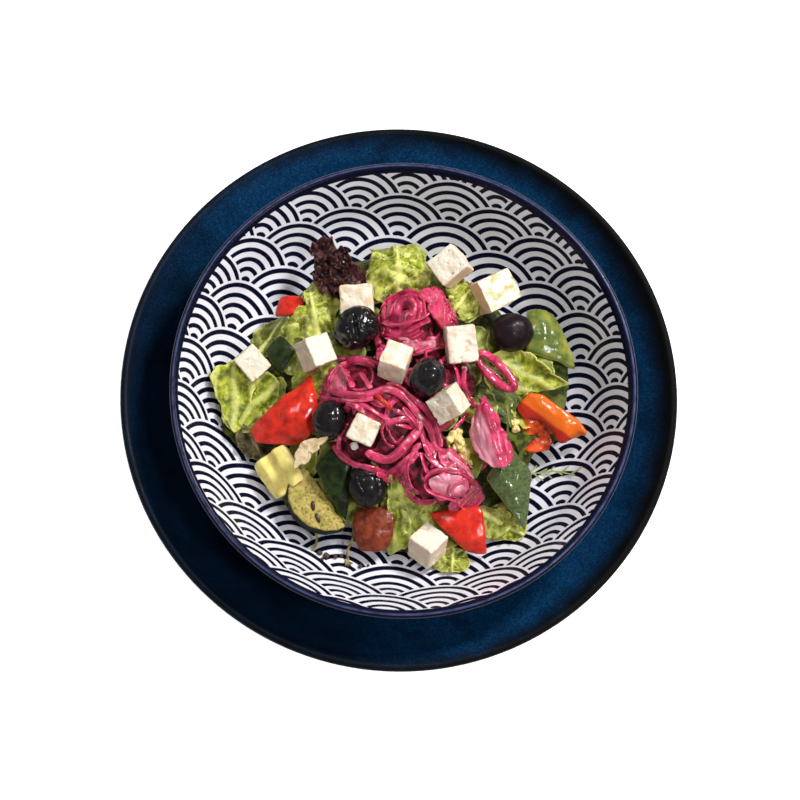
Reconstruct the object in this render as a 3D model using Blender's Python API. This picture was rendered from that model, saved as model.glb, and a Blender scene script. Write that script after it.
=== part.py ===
"""Greek salad in a wave-patterned bowl, standing on a blue underplate.

Two turned stoneware dishes carry a heap of salad leaves.  Pickled red onion
lies on the leaves, and feta blocks, black olives, peppers, courgette and
cucumber sit in both.  Every piece is one closed solid.  Where two pieces
touch, the softer one is hollowed round the firmer one with a small gap.

Units are metres, +Z is up, and the origin is the centre of the underplate's
foot.  The side that faces -Y is the front.
"""

import math

import bmesh
import bpy
from mathutils import Quaternion, Vector, noise

MM = 0.001

# ---- driving dimensions -------------------------------------------------
TOUCH_GAP = 0.35 * MM          # left between two pieces that touch
ROUND_SEGMENTS = 40            # facets round each dish

PLATE_FLOOR_RADIUS = 75.0 * MM
PLATE_FLOOR_HEIGHT = 6.5 * MM
PLATE_CURVE_RADIUS = 85.5 * MM
PLATE_WALL_SLOPE = math.radians(48.4)
PLATE_RIM_RADIUS = 143.3 * MM
PLATE_WALL = 4.5 * MM
PLATE_FOOT_OUTER = 68.0 * MM
PLATE_FOOT_INNER = 61.0 * MM

BOWL_CENTRE = Vector((2.0 * MM, -3.0 * MM, 0.0))
BOWL_FOOT_HEIGHT = PLATE_FLOOR_HEIGHT + TOUCH_GAP
BOWL_FLOOR_RADIUS = 67.0 * MM
BOWL_FLOOR_HEIGHT = 16.3 * MM
BOWL_CURVE_RADIUS = 38.0 * MM
BOWL_WALL_SLOPE = math.radians(64.0)
BOWL_RIM_RADIUS = 116.0 * MM
BOWL_WALL = 4.2 * MM
BOWL_FOOT_OUTER = 50.0 * MM
BOWL_FOOT_INNER = 45.0 * MM

DISH_CURVE_STEPS = 5           # facets up each dish's curved wall
LIP_TURNS = (45.0, 90.0, 135.0)    # degrees, points round the rounded lip
LEAST_STRAIGHT = 0.1 * MM      # a shorter straight wall is left out
FOOT_TAPER = 1.0 * MM          # how far each side of a foot ring leans in

HEAP_SOFTNESS = 2.5            # mm, how softly two clumps run together
CLUMP_ROUNDNESS = 2.4          # power of the fall from a clump's top
HEAP_STEP = 0.5                # mm, step of the search for the outline
RING_SPACING = 0.85            # below 1 the rings crowd the heap's edge

BED_CLEARANCE = 0.9 * MM       # leaves above the bowl's faceted inside
BED_EDGE = 5.0 * MM            # height of the leaves' ragged edge
BED_LIMIT = 100.0 * MM         # furthest the leaves may reach
BED_SECTORS = 40
BED_RINGS = 8
BED_RUFFLE = 2.2 * MM

ONION_CENTRE = Vector((1.0 * MM, -9.0 * MM, 0.0))
ONION_BASE = 38.0 * MM
ONION_EDGE = 7.0 * MM
ONION_LIMIT = 62.0 * MM
ONION_SECTORS = 24
ONION_RINGS = 5
ONION_RUFFLE = 1.8 * MM
ONION_HOLLOW = 52.0 * MM       # underside at the middle of the tangle
ONION_HOLLOW_FALL = 0.30       # how steeply it falls away from there

PEPPER_THICKNESS = 3.6 * MM
SLAB_UNEVENNESS = 0.5          # mm
SLAB_RIPPLE = 8.0 * MM
SLAB_EDGE_THINNING = 0.25      # share of the thickness lost at the edges
GROOVE_WIDTH = 0.22            # of half the piece's width
SLICE_EDGE = 0.6 * MM         # softened edge of a cut slice
SLICE_STEPS = 12
SLICE_SETBACK = 0.42           # of the radius, centres the half slice

FETA_CHAMFER = 0.7 * MM
FETA_ROUGHNESS = 0.45 * MM
FETA_RIPPLE = 7.0 * MM

OLIVE_SEGMENTS = 12
OLIVE_RINGS = 8
OLIVE_STEM_HOLLOW = 0.10       # of the length
OLIVE_WRINKLE = 0.35 * MM
OLIVE_RIPPLE = 9.0 * MM

RING_STEPS = 24
RING_HALF_HEIGHT = 0.8         # of the strip's width
RING_WAVE = 1.2                # mm

FRILL_DEPTH = 3.4              # mm
FRILL_SIZE = 5.0 * MM
LOBE_DEPTH = 2.4               # mm
LOBE_SIZE = 12.0 * MM

SHARP_CORNER_LIMIT = 1.8       # most that a cutter's corner is pushed out


# ---- materials ----------------------------------------------------------
def material(name, colour, roughness, metallic=0.0):
    """A plain Principled finish, made once and shared by name."""
    found = bpy.data.materials.get(name)
    if found:
        return found
    made = bpy.data.materials.new(name)
    made.use_nodes = True
    shader = made.node_tree.nodes["Principled BSDF"]
    shader.inputs["Base Color"].default_value = (*colour, 1.0)
    shader.inputs["Roughness"].default_value = roughness
    shader.inputs["Metallic"].default_value = metallic
    made.diffuse_color = (*colour, 1.0)
    return made


BLUE_GLAZE = ("blue_glaze", (0.010, 0.050, 0.140), 0.35)
WHITE_GLAZE = ("white_glaze", (0.85, 0.83, 0.88), 0.20)
LEAF = ("leaf", (0.36, 0.50, 0.10), 0.50)
DARK_LEAF = ("dark_leaf", (0.09, 0.03, 0.03), 0.50)
ONION = ("onion", (0.45, 0.03, 0.14), 0.30)
FETA = ("feta", (0.86, 0.82, 0.68), 0.75)
OLIVE = ("olive", (0.012, 0.010, 0.014), 0.25)
RED_PEPPER = ("red_pepper", (0.72, 0.04, 0.02), 0.25)
ORANGE_PEPPER = ("orange_pepper", (0.85, 0.18, 0.02), 0.25)
ROASTED_PEPPER = ("roasted_pepper", (0.35, 0.06, 0.03), 0.40)
GREEN_PEPPER = ("green_pepper", (0.09, 0.20, 0.03), 0.30)
CUCUMBER = ("cucumber", (0.02, 0.05, 0.02), 0.30)
COURGETTE = ("courgette", (0.55, 0.48, 0.14), 0.50)
YELLOW_PEPPER = ("yellow_pepper", (0.80, 0.70, 0.25), 0.45)


# ---- shared tools -------------------------------------------------------
def clear_scene():
    for thing in list(bpy.data.objects):
        bpy.data.objects.remove(thing, do_unlink=True)


def finish(name, bm, finish_spec, smooth_angle=35.0):
    """Turn a bmesh into a named object with outward faces and a material."""
    bmesh.ops.remove_doubles(bm, verts=bm.verts[:], dist=0.005 * MM)
    bmesh.ops.recalc_face_normals(bm, faces=bm.faces[:])
    mesh = bpy.data.meshes.new(name)
    bm.to_mesh(mesh)
    bm.free()
    mesh.shade_smooth()
    mesh.set_sharp_from_angle(angle=math.radians(smooth_angle))
    mesh.materials.append(material(*finish_spec))
    piece = bpy.data.objects.new(name, mesh)
    bpy.context.scene.collection.objects.link(piece)
    return piece


def place(piece, centre_mm, spin=0.0, lean=0.0, toward=0.0):
    """Put a piece at a centre in millimetres.

    spin turns it about its own upright axis; lean then tips that axis by so
    many degrees towards the compass direction given by toward (0 is +X, 90
    is +Y).
    """
    direction = math.radians(toward)
    axis = Vector((-math.sin(direction), math.cos(direction), 0.0))
    tipped = Quaternion(axis, math.radians(lean))
    turned = Quaternion((0.0, 0.0, 1.0), math.radians(spin))
    piece.rotation_euler = (tipped @ turned).to_euler()
    piece.location = Vector(centre_mm) * MM
    return piece


def ripple(point, size, seed=0.0):
    """A smooth value from -1 to 1 that changes over about one size."""
    return noise.noise(Vector(point) / size + Vector((seed, 2.0 * seed, -seed)))


# ---- the two dishes -----------------------------------------------------
def dish_profile(floor_radius, floor_height, curve_radius, slope, rim_radius,
                 wall, foot_outer, foot_inner, foot_height):
    """Half section of a dish, from the middle of its floor to its underside."""
    def on_curve(radius, angle):
        return (floor_radius + radius * math.sin(angle),
                floor_height + curve_radius - radius * math.cos(angle))

    angles = [slope * i / DISH_CURVE_STEPS for i in range(DISH_CURVE_STEPS + 1)]
    section = [(0.0, floor_height)]
    section += [on_curve(curve_radius, a) for a in angles]

    # A straight wall runs on from the curve until the round lip fits inside
    # the rim radius.
    end_r, end_z = section[-1]
    half = wall / 2.0
    lip_r = rim_radius - half
    reach = max(0.0, (lip_r - half * math.sin(slope) - end_r) / math.cos(slope))
    along = (math.cos(slope), math.sin(slope))
    inward = (-math.sin(slope), math.cos(slope))
    inner_end = (end_r + reach * along[0], end_z + reach * along[1])
    if reach > LEAST_STRAIGHT:
        section.append(inner_end)
    middle = (inner_end[0] - half * inward[0], inner_end[1] - half * inward[1])
    for turn in LIP_TURNS:
        across = half * math.cos(math.radians(turn))
        out = half * math.sin(math.radians(turn))
        section.append((middle[0] + across * inward[0] + out * along[0],
                        middle[1] + across * inward[1] + out * along[1]))
    if reach > LEAST_STRAIGHT:
        section.append((middle[0] - half * inward[0],
                        middle[1] - half * inward[1]))

    section += [on_curve(curve_radius + wall, a) for a in reversed(angles)]
    under = floor_height - wall
    section += [(foot_outer, under), (foot_outer - FOOT_TAPER, foot_height),
                (foot_inner, foot_height), (foot_inner - FOOT_TAPER, under),
                (0.0, under)]
    return section


def turned(name, section, finish_spec):
    """Spin a half section round the Z axis into a closed dish."""
    bm = bmesh.new()
    verts = [bm.verts.new((r, 0.0, z)) for r, z in section]
    edges = [bm.edges.new(pair) for pair in zip(verts, verts[1:])]
    bmesh.ops.spin(bm, geom=verts + edges, cent=(0, 0, 0), axis=(0, 0, 1),
                   angle=math.tau, steps=ROUND_SEGMENTS, use_merge=True)
    return finish(name, bm, finish_spec)


def bowl_inside_height(radius):
    """Height of the bowl's inner surface at a distance from its axis."""
    past = radius - BOWL_FLOOR_RADIUS
    if past <= 0.0:
        return BOWL_FLOOR_HEIGHT
    straight_from = BOWL_CURVE_RADIUS * math.sin(BOWL_WALL_SLOPE)
    if past <= straight_from:
        rise = BOWL_CURVE_RADIUS - math.sqrt(BOWL_CURVE_RADIUS ** 2 - past ** 2)
        return BOWL_FLOOR_HEIGHT + rise
    rise = BOWL_CURVE_RADIUS * (1.0 - math.cos(BOWL_WALL_SLOPE))
    beyond = (past - straight_from) * math.tan(BOWL_WALL_SLOPE)
    return BOWL_FLOOR_HEIGHT + rise + beyond


def make_underplate():
    section = dish_profile(PLATE_FLOOR_RADIUS, PLATE_FLOOR_HEIGHT,
                           PLATE_CURVE_RADIUS, PLATE_WALL_SLOPE,
                           PLATE_RIM_RADIUS, PLATE_WALL, PLATE_FOOT_OUTER,
                           PLATE_FOOT_INNER, 0.0)
    return turned("underplate", section, BLUE_GLAZE)


def make_bowl():
    section = dish_profile(BOWL_FLOOR_RADIUS, BOWL_FLOOR_HEIGHT,
                           BOWL_CURVE_RADIUS, BOWL_WALL_SLOPE,
                           BOWL_RIM_RADIUS, BOWL_WALL, BOWL_FOOT_OUTER,
                           BOWL_FOOT_INNER, BOWL_FOOT_HEIGHT)
    bowl = turned("bowl", section, WHITE_GLAZE)
    bowl.location = BOWL_CENTRE
    return bowl


# ---- heaps --------------------------------------------------------------
# Each clump is x, y, radius and top height in millimetres.
LEAF_CLUMPS = (
    (2, -3, 77, 50),       # the heap's body
    (-6, 58, 25, 46),      # crinkled leaf at the back
    (-38, 55, 18, 34),
    (-48, 34, 22, 42),     # folded leaf, back left
    (-78, -8, 21, 32),     # leaf at the left edge
    (-62, 12, 18, 35),
    (-77, -31, 15, 29),
    (68, 14, 25, 38),      # curled leaf, right
    (72, 32, 16, 31),
    (10, -66, 23, 35),     # leaf at the front
    (60, -64, 15, 27),
    (34, -82, 10, 27),
    (50, -24, 26, 49),     # under the onion petal
    (28, 46, 22, 44),
    (-40, -60, 22, 27),
    (80, -12, 16, 27),
)
ONION_CLUMPS = (
    (5, 33, 23, 61),       # whorl at the back
    (-9, -17, 36, 61),     # main tangle
    (24, -45, 24, 54),     # bunch at the front
    (16, 2, 27, 62),
)


def heap_height(x, y, clumps, floor_mm):
    """Height in millimetres of a heap of rounded clumps, blended softly."""
    total = 0.0
    for cx, cy, radius, top in clumps:
        away = math.hypot(x - cx, y - cy) / radius
        height = top - (top - floor_mm) * away ** CLUMP_ROUNDNESS
        total += math.exp((height - floor_mm) / HEAP_SOFTNESS)
    return floor_mm + HEAP_SOFTNESS * math.log(1e-9 + total)


def heap_reach(centre, turn, clumps, floor_mm, edge_mm, limit_mm):
    """Distance from a centre to the heap's outline in one direction."""
    reach = limit_mm
    while reach > 1.0:
        x = centre.x / MM + reach * math.cos(turn)
        y = centre.y / MM + reach * math.sin(turn)
        if heap_height(x, y, clumps, floor_mm) > floor_mm + edge_mm:
            return reach
        reach -= HEAP_STEP
    return reach


def heap_solid(name, finish_spec, centre, clumps, sectors, rings, floor_mm,
               edge_mm, limit_mm, ruffle, underside, seed):
    """One closed heap: a rippled top over an underside given by a function."""
    bm = bmesh.new()
    turns = [math.tau * i / sectors for i in range(sectors)]
    reaches = [heap_reach(centre, t, clumps, floor_mm, edge_mm, limit_mm)
               for t in turns]
    layers = []
    for side in ("top", "under"):
        grid = []
        for ring in range(1, rings + 1):
            row = []
            for turn, reach in zip(turns, reaches):
                out = reach * MM * (ring / rings) ** RING_SPACING
                x = centre.x + out * math.cos(turn)
                y = centre.y + out * math.sin(turn)
                low = underside(x, y)
                if side == "top":
                    high = heap_height(x / MM, y / MM, clumps, floor_mm) * MM
                    high += ruffle * ripple((x, y, 0.0), 9.0 * MM, seed)
                    high += 0.5 * ruffle * ripple((x, y, 0.0), 4.5 * MM, seed)
                    z = max(high, low + 0.6 * edge_mm * MM)
                else:
                    z = low
                row.append(bm.verts.new((x, y, z)))
            grid.append(row)
        layers.append(grid)
        hub_z = underside(centre.x, centre.y)
        if side == "top":
            hub_z = heap_height(centre.x / MM, centre.y / MM, clumps,
                                floor_mm) * MM
        hub = bm.verts.new((centre.x, centre.y, hub_z))
        for i in range(sectors):
            bm.faces.new((hub, grid[0][i], grid[0][(i + 1) % sectors]))
        for inner, outer in zip(grid, grid[1:]):
            for i in range(sectors):
                j = (i + 1) % sectors
                bm.faces.new((inner[i], outer[i], outer[j], inner[j]))
    for i in range(sectors):
        j = (i + 1) % sectors
        top, under = layers[0][-1], layers[1][-1]
        bm.faces.new((top[i], under[i], under[j], top[j]))
    return finish(name, bm, finish_spec)


def make_leaf_heap():
    def underside(x, y):
        radius = math.hypot(x - BOWL_CENTRE.x, y - BOWL_CENTRE.y)
        return bowl_inside_height(radius) + BED_CLEARANCE

    return heap_solid("salad_leaves", LEAF, BOWL_CENTRE, LEAF_CLUMPS,
                      BED_SECTORS, BED_RINGS, BOWL_FLOOR_HEIGHT / MM,
                      BED_EDGE / MM, BED_LIMIT / MM, BED_RUFFLE, underside,
                      3.0)


def make_onion_heap():
    def underside(x, y):
        out = math.hypot(x - ONION_CENTRE.x, y - ONION_CENTRE.y)
        return max(ONION_BASE, ONION_HOLLOW - out * ONION_HOLLOW_FALL)

    return heap_solid("pickled_onion", ONION, ONION_CENTRE, ONION_CLUMPS,
                      ONION_SECTORS, ONION_RINGS, ONION_BASE / MM,
                      ONION_EDGE / MM, ONION_LIMIT / MM, ONION_RUFFLE,
                      underside, 7.0)


# ---- toppings -----------------------------------------------------------
def make_feta(name, centre, size, spin, lean, toward, seed):
    """A crumbly block: slightly uneven faces and broken-off edges."""
    bm = bmesh.new()
    bmesh.ops.create_cube(bm, size=1.0)
    bmesh.ops.scale(bm, vec=Vector(size) * MM, verts=bm.verts[:])
    bmesh.ops.bevel(bm, geom=bm.edges[:], offset=FETA_CHAMFER,
                    offset_type="OFFSET", segments=1, profile=0.5,
                    affect="EDGES", material=-1)
    for vert in bm.verts:
        for axis in range(3):
            shift = ripple(vert.co, FETA_RIPPLE, seed + 5.0 * axis)
            vert.co[axis] += FETA_ROUGHNESS * shift
    piece = finish(name, bm, FETA)
    return place(piece, centre, spin, lean, toward)


def make_olive(name, centre, length, width, spin, lean, toward, seed):
    """A black olive lying along its upright axis, hollowed at the stem end."""
    bm = bmesh.new()
    bmesh.ops.create_uvsphere(bm, u_segments=OLIVE_SEGMENTS,
                              v_segments=OLIVE_RINGS, radius=0.5 * MM)
    bmesh.ops.scale(bm, vec=(width, width, length), verts=bm.verts[:])
    tip = max(bm.verts, key=lambda v: v.co.z)
    tip.co.z -= OLIVE_STEM_HOLLOW * length * MM
    for vert in bm.verts:
        wrinkle = ripple(vert.co, OLIVE_RIPPLE, seed)
        vert.co += vert.co.normalized() * (OLIVE_WRINKLE * wrinkle)
    piece = finish(name, bm, OLIVE, 60.0)
    return place(piece, centre, spin, lean, toward)


def make_slab(name, corners, finish_spec, thickness=PEPPER_THICKNESS,
              crown=0.0, arch=0.0, bow=0.08, taper=0.0, groove=0.0,
              cuts=(5, 3), seed=1.0):
    """A bent piece of vegetable between four corners in millimetres.

    u runs from the first corner to the second and v from the first to the
    last.  crown lifts the middle across v, arch lifts it along u, bow swells
    the outline, taper pulls the ends in to points, and groove sinks a channel
    along the piece.
    """
    a, b, c, d = (Vector(corner) * MM for corner in corners)
    normal = (b - a).cross(d - a).normalized()
    if normal.z < 0.0:
        normal.negate()
    centre = (a + b + c + d) / 4.0
    columns, rows = cuts
    bm = bmesh.new()
    sheets = []
    for side in (0.5, -0.5):
        sheet = []
        for row in range(rows + 1):
            v = 2.0 * row / rows - 1.0
            line = []
            for column in range(columns + 1):
                u = 2.0 * column / columns - 1.0
                pinch = 1.0 - taper * u ** 2
                s, t = (u + 1.0) / 2.0, (v * pinch + 1.0) / 2.0
                point = (a * (1 - s) + b * s) * (1 - t) + (d * (1 - s) + c * s) * t
                swell = bow * ((1 - u * u) * abs(v) + (1 - v * v) * abs(u))
                point += (point - centre) * swell
                lift = crown * (1 - v * v) + arch * (1 - u * u)
                lift -= groove * math.exp(-((v / GROOVE_WIDTH) ** 2))
                lift += SLAB_UNEVENNESS * ripple(point, SLAB_RIPPLE, seed)
                thin = 1.0 - SLAB_EDGE_THINNING * max(abs(u), abs(v)) ** 4
                point += normal * (lift * MM + side * thickness * thin)
                line.append(bm.verts.new(point))
            sheet.append(line)
        sheets.append(sheet)
        for row in range(rows):
            for column in range(columns):
                bm.faces.new((sheet[row][column], sheet[row][column + 1],
                              sheet[row + 1][column + 1],
                              sheet[row + 1][column]))
    top, under = sheets
    rim = [(0, i) for i in range(columns)]
    rim += [(i, columns) for i in range(rows)]
    rim += [(rows, i) for i in range(columns, 0, -1)]
    rim += [(i, 0) for i in range(rows, 0, -1)]
    for (r1, c1), (r2, c2) in zip(rim, rim[1:] + rim[:1]):
        bm.faces.new((top[r1][c1], top[r2][c2], under[r2][c2], under[r1][c1]))
    return finish(name, bm, finish_spec)


def make_half_slice(name, centre, radius, thickness, spin, lean, toward):
    """Half a round slice of courgette with softened edges."""
    bm = bmesh.new()
    outline = []
    for i in range(SLICE_STEPS + 1):
        turn = math.pi * i / SLICE_STEPS
        outline.append(bm.verts.new((radius * MM * math.cos(turn),
                                     radius * MM * (math.sin(turn) - SLICE_SETBACK),
                                     -0.5 * thickness * MM)))
    face = bm.faces.new(outline)
    raised = bmesh.ops.extrude_face_region(bm, geom=[face])
    lifted = [v for v in raised["geom"] if isinstance(v, bmesh.types.BMVert)]
    bmesh.ops.translate(bm, vec=(0, 0, thickness * MM), verts=lifted)
    bmesh.ops.bevel(bm, geom=bm.edges[:], offset=SLICE_EDGE,
                    offset_type="OFFSET", segments=1, profile=0.5,
                    affect="EDGES", material=-1)
    piece = finish(name, bm, COURGETTE)
    return place(piece, centre, spin, lean, toward)


def make_onion_ring(name, centre, length, width, strip, spin, lean, toward):
    """A cut onion ring pulled long, with a flat strip for its section."""
    bm = bmesh.new()
    half = RING_HALF_HEIGHT
    section = [(-0.5, -half), (0.5, -half), (0.5, half), (-0.5, half)]
    loops = []
    for i in range(RING_STEPS):
        turn = math.tau * i / RING_STEPS
        wave = RING_WAVE * math.sin(3.0 * turn)
        loop = []
        for out, up in section:
            x = (length / 2.0 - strip / 2.0 + out * strip) * math.cos(turn)
            y = (width / 2.0 - strip / 2.0 + out * strip) * math.sin(turn)
            loop.append(bm.verts.new(Vector((x, y, up * strip + wave)) * MM))
        loops.append(loop)
    for one, two in zip(loops, loops[1:] + loops[:1]):
        for i in range(4):
            j = (i + 1) % 4
            bm.faces.new((one[i], one[j], two[j], two[i]))
    piece = finish(name, bm, ONION)
    return place(piece, centre, spin, lean, toward)


def make_frilled_leaf(name, centre, size, spin, seed):
    """A ruffled dark leaf as one crumpled tuft, plain where it is bedded."""
    bm = bmesh.new()
    bmesh.ops.create_icosphere(bm, subdivisions=3, radius=0.5 * MM)
    bmesh.ops.scale(bm, vec=size, verts=bm.verts[:])
    half_height = 0.5 * size[2] * MM
    for vert in bm.verts:
        exposed = min(1.0, max(0.0, 0.5 + vert.co.z / half_height))
        frill = abs(ripple(vert.co, FRILL_SIZE, seed))
        lobe = ripple(vert.co, LOBE_SIZE, seed + 9.0)
        swell = exposed * (FRILL_DEPTH * frill + LOBE_DEPTH * lobe)
        vert.co += vert.co.normalized() * MM * swell
    piece = finish(name, bm, DARK_LEAF)
    return place(piece, centre, spin)


# Blocks: centre, size, spin, lean, toward.  The widest blocks lie at the back
# right; the one at the front leans back against the bowl's wall.
FETA_BLOCKS = (
    ((20.1, 61.9, 50), (17.0, 16.0, 15.5), 40, 22, 215),
    ((44.0, 51.8, 46), (21.0, 18.5, 16.0), 34, 20, -20),
    ((28.1, 18.4, 59), (15.5, 19.0, 15.0), 12, 15, -70),
    ((-3.6, 5.3, 63), (14.0, 15.0, 15.0), -15, 21, 78),
    ((24.3, -13.3, 63), (15.5, 15.5, 15.0), 33, 42, -124),
    ((-15.8, -29.3, 59), (14.0, 13.5, 13.5), -20, 14, -90),
    ((-44.0, 10.0, 50), (14.5, 15.5, 15.0), 30, 30, 5),
    ((-76.5, 4.5, 38), (13.5, 15.5, 12.5), 47, 16, -60),
    ((-26.0, 40.0, 47), (17.5, 16.0, 13.5), 8, 14, -90),
    ((20.8, -80.0, 33), (15.0, 15.0, 15.0), 52, 31, 90),
)
# Olives: centre, length, width, spin, lean, toward.
OLIVES = (
    ((-24.5, 23.5, 54), 23.0, 20.5, 0, 70, 40),
    ((54.3, 31.0, 45), 22.5, 20.0, 0, 80, 195),
    ((12.8, -1.6, 65), 21.5, 18.0, 0, 45, 60),
    ((-33.3, -24.4, 51), 20.0, 17.5, 0, 60, 70),
    ((-12.0, -54.0, 43), 22.0, 20.0, 0, 75, 120),
)


def make_toppings():
    """Every topping, firmest first: later ones give way to earlier ones."""
    pieces = []
    for index, (centre, size, spin, lean, toward) in enumerate(FETA_BLOCKS):
        pieces.append(make_feta(f"feta_{index + 1}", centre, size, spin,
                                lean, toward, 1.7 * index))
    for index, (centre, length, width, spin, lean, toward) in enumerate(OLIVES):
        pieces.append(make_olive(f"olive_{index + 1}", centre, length, width,
                                 spin, lean, toward, 2.3 * index))
    pieces.append(make_half_slice("courgette_slice", (-39, -65, 33), 19.5, 7.0,
                                  128, 22, 60))
    pieces.append(make_slab("yellow_pepper",
                            ((-70, -47, 30), (-57, -63, 29),
                             (-44, -53, 36), (-56, -36, 37)),
                            YELLOW_PEPPER, thickness=6.0 * MM, crown=3.0,
                            groove=4.0, cuts=(5, 7), seed=2.0))
    pieces.append(make_slab("red_pepper_left",
                            ((-74, -29, 33), (-46, -4, 42),
                             (-39, -20, 42), (-47, -38, 36)),
                            RED_PEPPER, crown=3.0, arch=4.5, bow=0.16,
                            seed=3.0))
    pieces.append(make_slab("orange_pepper_strip",
                            ((66, 4, 42), (99, -14, 38),
                             (92, -21, 33), (61, -5, 38)),
                            ORANGE_PEPPER, crown=0.5, arch=1.0, bow=0.04,
                            seed=4.0))
    pieces.append(make_slab("orange_pepper_fold",
                            ((62, -5, 34), (89, -21, 29),
                             (77, -28, 27), (64, -27, 30)),
                            RED_PEPPER, crown=-1.5, bow=0.12, seed=5.0))
    pieces.append(make_slab("red_pepper_front",
                            ((20, -64, 34), (46, -58, 36),
                             (51, -81, 31), (41, -81, 29)),
                            RED_PEPPER, crown=2.5, arch=1.0, bow=0.06,
                            seed=6.0))
    pieces.append(make_slab("red_pepper_back",
                            ((-68, 31, 35), (-66, 42, 34),
                             (-53, 42, 39), (-55, 32, 40)),
                            RED_PEPPER, crown=1.0, seed=7.0))
    pieces.append(make_slab("roasted_pepper",
                            ((-18, -66, 31), (3, -62, 33),
                             (2, -82, 29), (-13, -85, 27)),
                            ROASTED_PEPPER, crown=2.5, arch=2.0, bow=0.14,
                            seed=8.0))
    pieces.append(make_slab("green_pepper_front",
                            ((47, -45, 41), (69, -68, 32),
                             (70, -40, 33), (57, -25, 42)),
                            GREEN_PEPPER, crown=2.0, arch=1.0, bow=0.03,
                            seed=9.0))
    pieces.append(make_slab("green_pepper_back",
                            ((63, 24, 38), (62, 46, 36),
                             (76, 46, 34), (90, 18, 31)),
                            GREEN_PEPPER, crown=3.0, arch=2.5, bow=0.08,
                            seed=10.0))
    pieces.append(make_slab("cucumber_front",
                            ((-39, -47, 40), (-31, -36, 43),
                             (-19, -46, 42), (-21, -72, 33)),
                            CUCUMBER, thickness=4.5 * MM, crown=1.5,
                            bow=0.06, seed=11.0))
    pieces.append(make_slab("cucumber_back",
                            ((-71, 12, 35), (-64, 21, 37),
                             (-55, 13, 39), (-61, 1, 36)),
                            CUCUMBER, thickness=4.0 * MM, crown=1.5,
                            bow=0.10, cuts=(4, 4), seed=12.0))
    pieces.append(make_slab("onion_petal",
                            ((51, -4, 50), (63, -38, 44),
                             (46, -45, 46), (34, -11, 53)),
                            ONION, thickness=3.0 * MM, crown=3.5, arch=2.0,
                            bow=0.0, taper=0.70, seed=13.0))
    pieces.append(make_onion_ring("onion_ring", (47, 8, 52), 28.0, 11.0, 3.2,
                                  -38, 14, -60))
    pieces.append(make_frilled_leaf("dark_leaf", (-38, 58, 42),
                                    (24.0, 29.0, 15.0), 20, 4.0))
    return pieces


# ---- seating ------------------------------------------------------------
def seat_cutter(piece, follow_hollows=False):
    """A hidden outline of a piece in world space, swollen by the touch gap.

    It is the piece's convex hull, or its own surface where the piece is a
    heap whose hollows matter.  The surface swells less where it folds in, so
    it is given twice the gap.
    """
    swell = TOUCH_GAP * (2.0 if follow_hollows else 1.0)
    bm = bmesh.new()
    if follow_hollows:
        bm.from_mesh(piece.data)
        bm.transform(piece.matrix_world)
        bmesh.ops.triangulate(bm, faces=bm.faces[:])
    else:
        for vert in piece.data.vertices:
            bm.verts.new(piece.matrix_world @ vert.co)
        bmesh.ops.convex_hull(bm, input=bm.verts[:])
        inside = [v for v in bm.verts if not v.link_faces]
        bmesh.ops.delete(bm, geom=inside, context="VERTS")
        bmesh.ops.recalc_face_normals(bm, faces=bm.faces[:])
    bm.normal_update()
    moves = [v.normal * min(v.calc_shell_factor(), SHARP_CORNER_LIMIT) * swell
             for v in bm.verts]
    for vert, move in zip(bm.verts, moves):
        vert.co += move
    mesh = bpy.data.meshes.new("seat_cutter")
    bm.to_mesh(mesh)
    bm.free()
    cutter = bpy.data.objects.new("seat_cutter", mesh)
    cutter.hide_render = True
    cutter.display_type = "WIRE"
    bpy.context.scene.collection.objects.link(cutter)
    return cutter


def world_box(thing):
    corners = [thing.matrix_world @ v.co for v in thing.data.vertices]
    return [(min(c[i] for c in corners), max(c[i] for c in corners))
            for i in range(3)]


def boxes_meet(piece, other):
    return all(a[0] < b[1] and b[0] < a[1]
               for a, b in zip(world_box(piece), world_box(other)))


def keep_largest_island(bm):
    """Drop the crumbs that a cut has parted from the main body."""
    left = set(bm.verts)
    islands = []
    while left:
        stack = [left.pop()]
        island = set(stack)
        while stack:
            for edge in stack.pop().link_edges:
                for vert in edge.verts:
                    if vert in left:
                        left.remove(vert)
                        island.add(vert)
                        stack.append(vert)
        islands.append(island)
    islands.sort(key=len, reverse=True)
    loose = [vert for island in islands[1:] for vert in island]
    bmesh.ops.delete(bm, geom=loose, context="VERTS")


def hollow(piece, cutters):
    """Cut a seat in a piece for each firmer one that it meets."""
    for cutter in cutters:
        if not boxes_meet(piece, cutter):
            continue
        cut = piece.modifiers.new("seat", "BOOLEAN")
        cut.operation = "DIFFERENCE"
        cut.solver = "EXACT"
        cut.object = cutter
        graph = bpy.context.evaluated_depsgraph_get()
        carved = bpy.data.meshes.new_from_object(piece.evaluated_get(graph))
        piece.modifiers.remove(cut)
        bm = bmesh.new()
        bm.from_mesh(carved)
        keep_largest_island(bm)
        bm.to_mesh(piece.data)
        bm.free()
        bpy.data.meshes.remove(carved)


def main():
    clear_scene()
    make_underplate()
    make_bowl()
    firm_to_soft = make_toppings()
    firm_to_soft.append(make_onion_heap())
    firm_to_soft.append(make_leaf_heap())
    bpy.context.view_layer.update()
    cutters = [seat_cutter(piece, piece.name == "pickled_onion")
               for piece in firm_to_soft]
    for index, piece in enumerate(firm_to_soft):
        hollow(piece, cutters[:index])
    for cutter in cutters:
        bpy.data.objects.remove(cutter, do_unlink=True)


main()
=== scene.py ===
"""Finishes for a Greek salad in a wave-patterned bowl on a blue underplate.

The solids come from the frame and set every size and place.  The dishes are
turned again with a fine wall, the toppings are close copies of their solids,
and lettuce leaves and strands of pickled onion are laid over smaller cores.
Lengths are metres, with MM for millimetres; +Z is up and -Y is the front.
"""

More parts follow.
